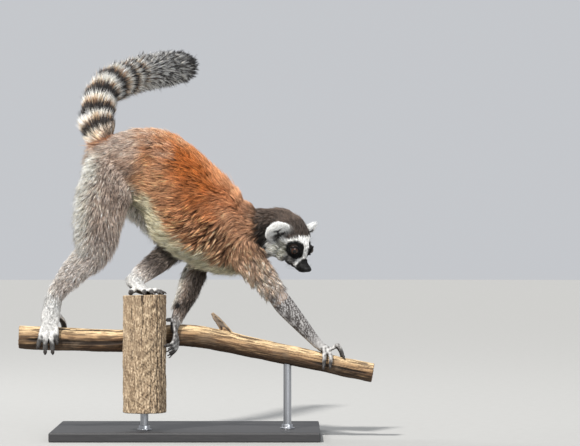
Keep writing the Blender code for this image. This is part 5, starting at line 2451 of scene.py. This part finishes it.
# -------- stand
@dataclass
class Collar:
    """A turned steel collar where a rod enters the base or meets the wood."""

    name: str
    foot: Triple
    flange: float = 11.0
    height: float = 7.0

    def build(self) -> Piece:
        """Extrudes and insets the collar's profile from a ring, with a softened edge.

        Returns:
            The collar.
        """
        deselect()
        x, y, z = self.foot
        bpy.ops.mesh.primitive_cylinder_add(
            vertices=64, radius=self.flange * MM, depth=2 * MM, location=Vector((x, y, z + 1)) * MM
        )
        collar = bpy.context.object
        bpy.ops.object.transform_apply(location=True, rotation=True, scale=True)
        self._raise_hub(collar, z)
        apply(collar, "BEVEL", width=0.5 * MM, segments=2, limit_method="ANGLE", angle_limit=math.radians(40))
        smooth(collar, 40)
        collar.name = collar.data.name = self.name
        return collar

    def _raise_hub(self, collar: Piece, floor: float) -> None:
        """Insets the upper face and pulls it up into a hub.

        Args:
            collar: The collar.
            floor: The height that it stands on.
        """
        top = (floor + 2) * MM
        for polygon in collar.data.polygons:
            polygon.select = polygon.center.z > top - 1e-5 and polygon.normal.z > 0.9
        for edge in collar.data.edges:
            edge.select = False
        for vertex in collar.data.vertices:
            vertex.select = False
        take(collar)
        bpy.ops.object.mode_set(mode="EDIT")
        bpy.ops.mesh.select_mode(type="FACE")
        bpy.ops.mesh.inset(thickness=(self.flange - ROD_RADIUS - 2.2) * MM)
        lift = Vector((0, 0, self.height - 2)) * MM
        bpy.ops.mesh.extrude_region_move(TRANSFORM_OT_translate={"value": lift})
        bpy.ops.object.mode_set(mode="OBJECT")


class Stand:
    """The plain display stand: its carried-over board and rods, and new collars."""

    def build(self, nodes: dict[str, Piece]) -> None:
        """Dresses the nodes of the stand and turns the collars.

        Args:
            nodes: The CAD model's nodes.
        """
        board, steel = BOARD.material(), STEEL.material()
        for name, finish in (("stand_base", board), ("stand_rod_post", steel), ("stand_rod_pole", steel)):
            node = nodes[name]
            if not node.material_slots:
                node.data.materials.append(finish)
            for slot in node.material_slots:
                slot.material = finish
        for name, foot in (("collar_post_foot", POST_CENTRE), ("collar_pole_foot", (ROD_X, 0.0))):
            finish_piece(Collar(name, (*foot, BASE_THICKNESS)).build(), steel)


# -------- studio
@dataclass(frozen=True)
class Lamp:
    """One soft light, aimed at the animal: a disk with a width in metres, or far away with an angle."""

    name: str
    place: Triple
    size: float
    power: float
    colour: Triple = (1.0, 1.0, 1.0)
    aim: Triple = (0.02, 0.05, 0.30)
    far_away: bool = False

    def build(self) -> None:
        """Hangs the light."""
        data = bpy.data.lights.new(self.name, "SUN" if self.far_away else "AREA")
        if self.far_away:
            data.angle = self.size
        else:
            data.shape = "DISK"
            data.size = self.size
        data.energy = self.power
        data.color = self.colour
        lamp = show(bpy.data.objects.new(self.name, data))
        lamp.location = self.place
        lamp.rotation_euler = (Vector(self.aim) - Vector(self.place)).to_track_quat("-Z", "Y").to_euler()


@dataclass(frozen=True)
class Studio:
    """A plain pale floor, soft light and the camera at the animal's height."""

    floor_radius: float = 14.0
    camera_place: Triple = (0.150, -5.0, 0.3225)
    view_width: float = 0.870
    sensor: float = 36.0
    sky: float = 0.60

    def build(self) -> None:
        """Lays the floor, hangs the lights and sets up the camera."""
        self._floor()
        Lamp("key", (-1.2, -2.3, 3.4), math.radians(5), 4.5, (1.0, 0.975, 0.94), far_away=True).build()
        Lamp("fill", (1.8, -3.2, 1.2), 1.6, 40, (0.96, 0.98, 1.0)).build()
        Lamp("rim", (-1.9, 1.2, 1.9), 1.0, 28).build()
        self._world()
        self._camera()
        bpy.context.scene.view_settings.view_transform = "Standard"

    def _floor(self) -> None:
        """A wide round floor with a fine, matt unevenness."""
        deselect()
        bpy.ops.mesh.primitive_circle_add(vertices=96, radius=self.floor_radius, fill_type="NGON")
        floor = bpy.context.object
        floor.name = "floor"
        floor.data.materials.append(FLOOR.material())
        floor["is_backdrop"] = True

    def _world(self) -> None:
        """Even pale light from all round."""
        world = bpy.data.worlds.new("studio")
        world.use_nodes = True
        sky = world.node_tree.nodes["Background"]
        sky.inputs["Color"].default_value = (0.93, 0.955, 1.0, 1)
        sky.inputs["Strength"].default_value = self.sky
        bpy.context.scene.world = world

    def _camera(self) -> None:
        """A long lens, level, from the animal's right side."""
        data = bpy.data.cameras.new("camera")
        data.sensor_width = self.sensor
        data.lens = self.sensor * -self.camera_place[1] / self.view_width
        data.clip_end = 60
        camera = show(bpy.data.objects.new("camera", data))
        camera.location = self.camera_place
        camera.rotation_euler = (math.pi / 2, 0, 0)
        bpy.context.scene.camera = camera


# -------- everything in order
def corners(box: tuple[Vector, Vector]) -> list[list[float]]:
    """A box as plain lists."""
    return [list(corner) for corner in box]


def main() -> None:
    """Builds and dresses the model in order."""
    logging.basicConfig(level=logging.INFO, format="%(message)s")
    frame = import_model()
    solid_box = corners(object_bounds())

    anatomy = Anatomy()
    markings = Markings(Palette())
    skin = Skin(anatomy).build()
    points, normals = points_of(skin), normals_of(skin)
    # Painted shade: the skin's markings are darkened for the shade under the coat.
    tint(skin, markings.paint(points, normals, anatomy.locate(points)) * SKIN_UNDER_COAT_SHADE)
    finish_piece(skin, SkinFinish().material())
    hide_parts(*Skin.nodes())

    fur = FurFinish().material()
    coat = Coat(anatomy, markings, skin)
    for piece in coat_pieces():
        finish_piece(coat.grow(piece), fur)

    for name, seat in EYES.items():
        eye = Eyeball(name, seat).build()
        finish_piece(eye, EyeFinish(seat).material())
        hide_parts(name)
    horn = HORN.material()
    finish_piece(Nails().build(), horn)
    finish_piece(Whiskers().build(points), horn)

    pole = Pole().build()
    finish_piece(pole, WoodFinish("pole_wood", (0.10, 1.0, 1.0)).material())
    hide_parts("perch_pole")
    post = Post().build(pole)
    finish_piece(post, WoodFinish("post_wood", (1.0, 1.0, 0.14)).material())
    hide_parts("perch_post")
    Stand().build(frame["nodes"])

    Studio().build()
    dressed_box = corners(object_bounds())


if __name__ == "__main__":
    main()
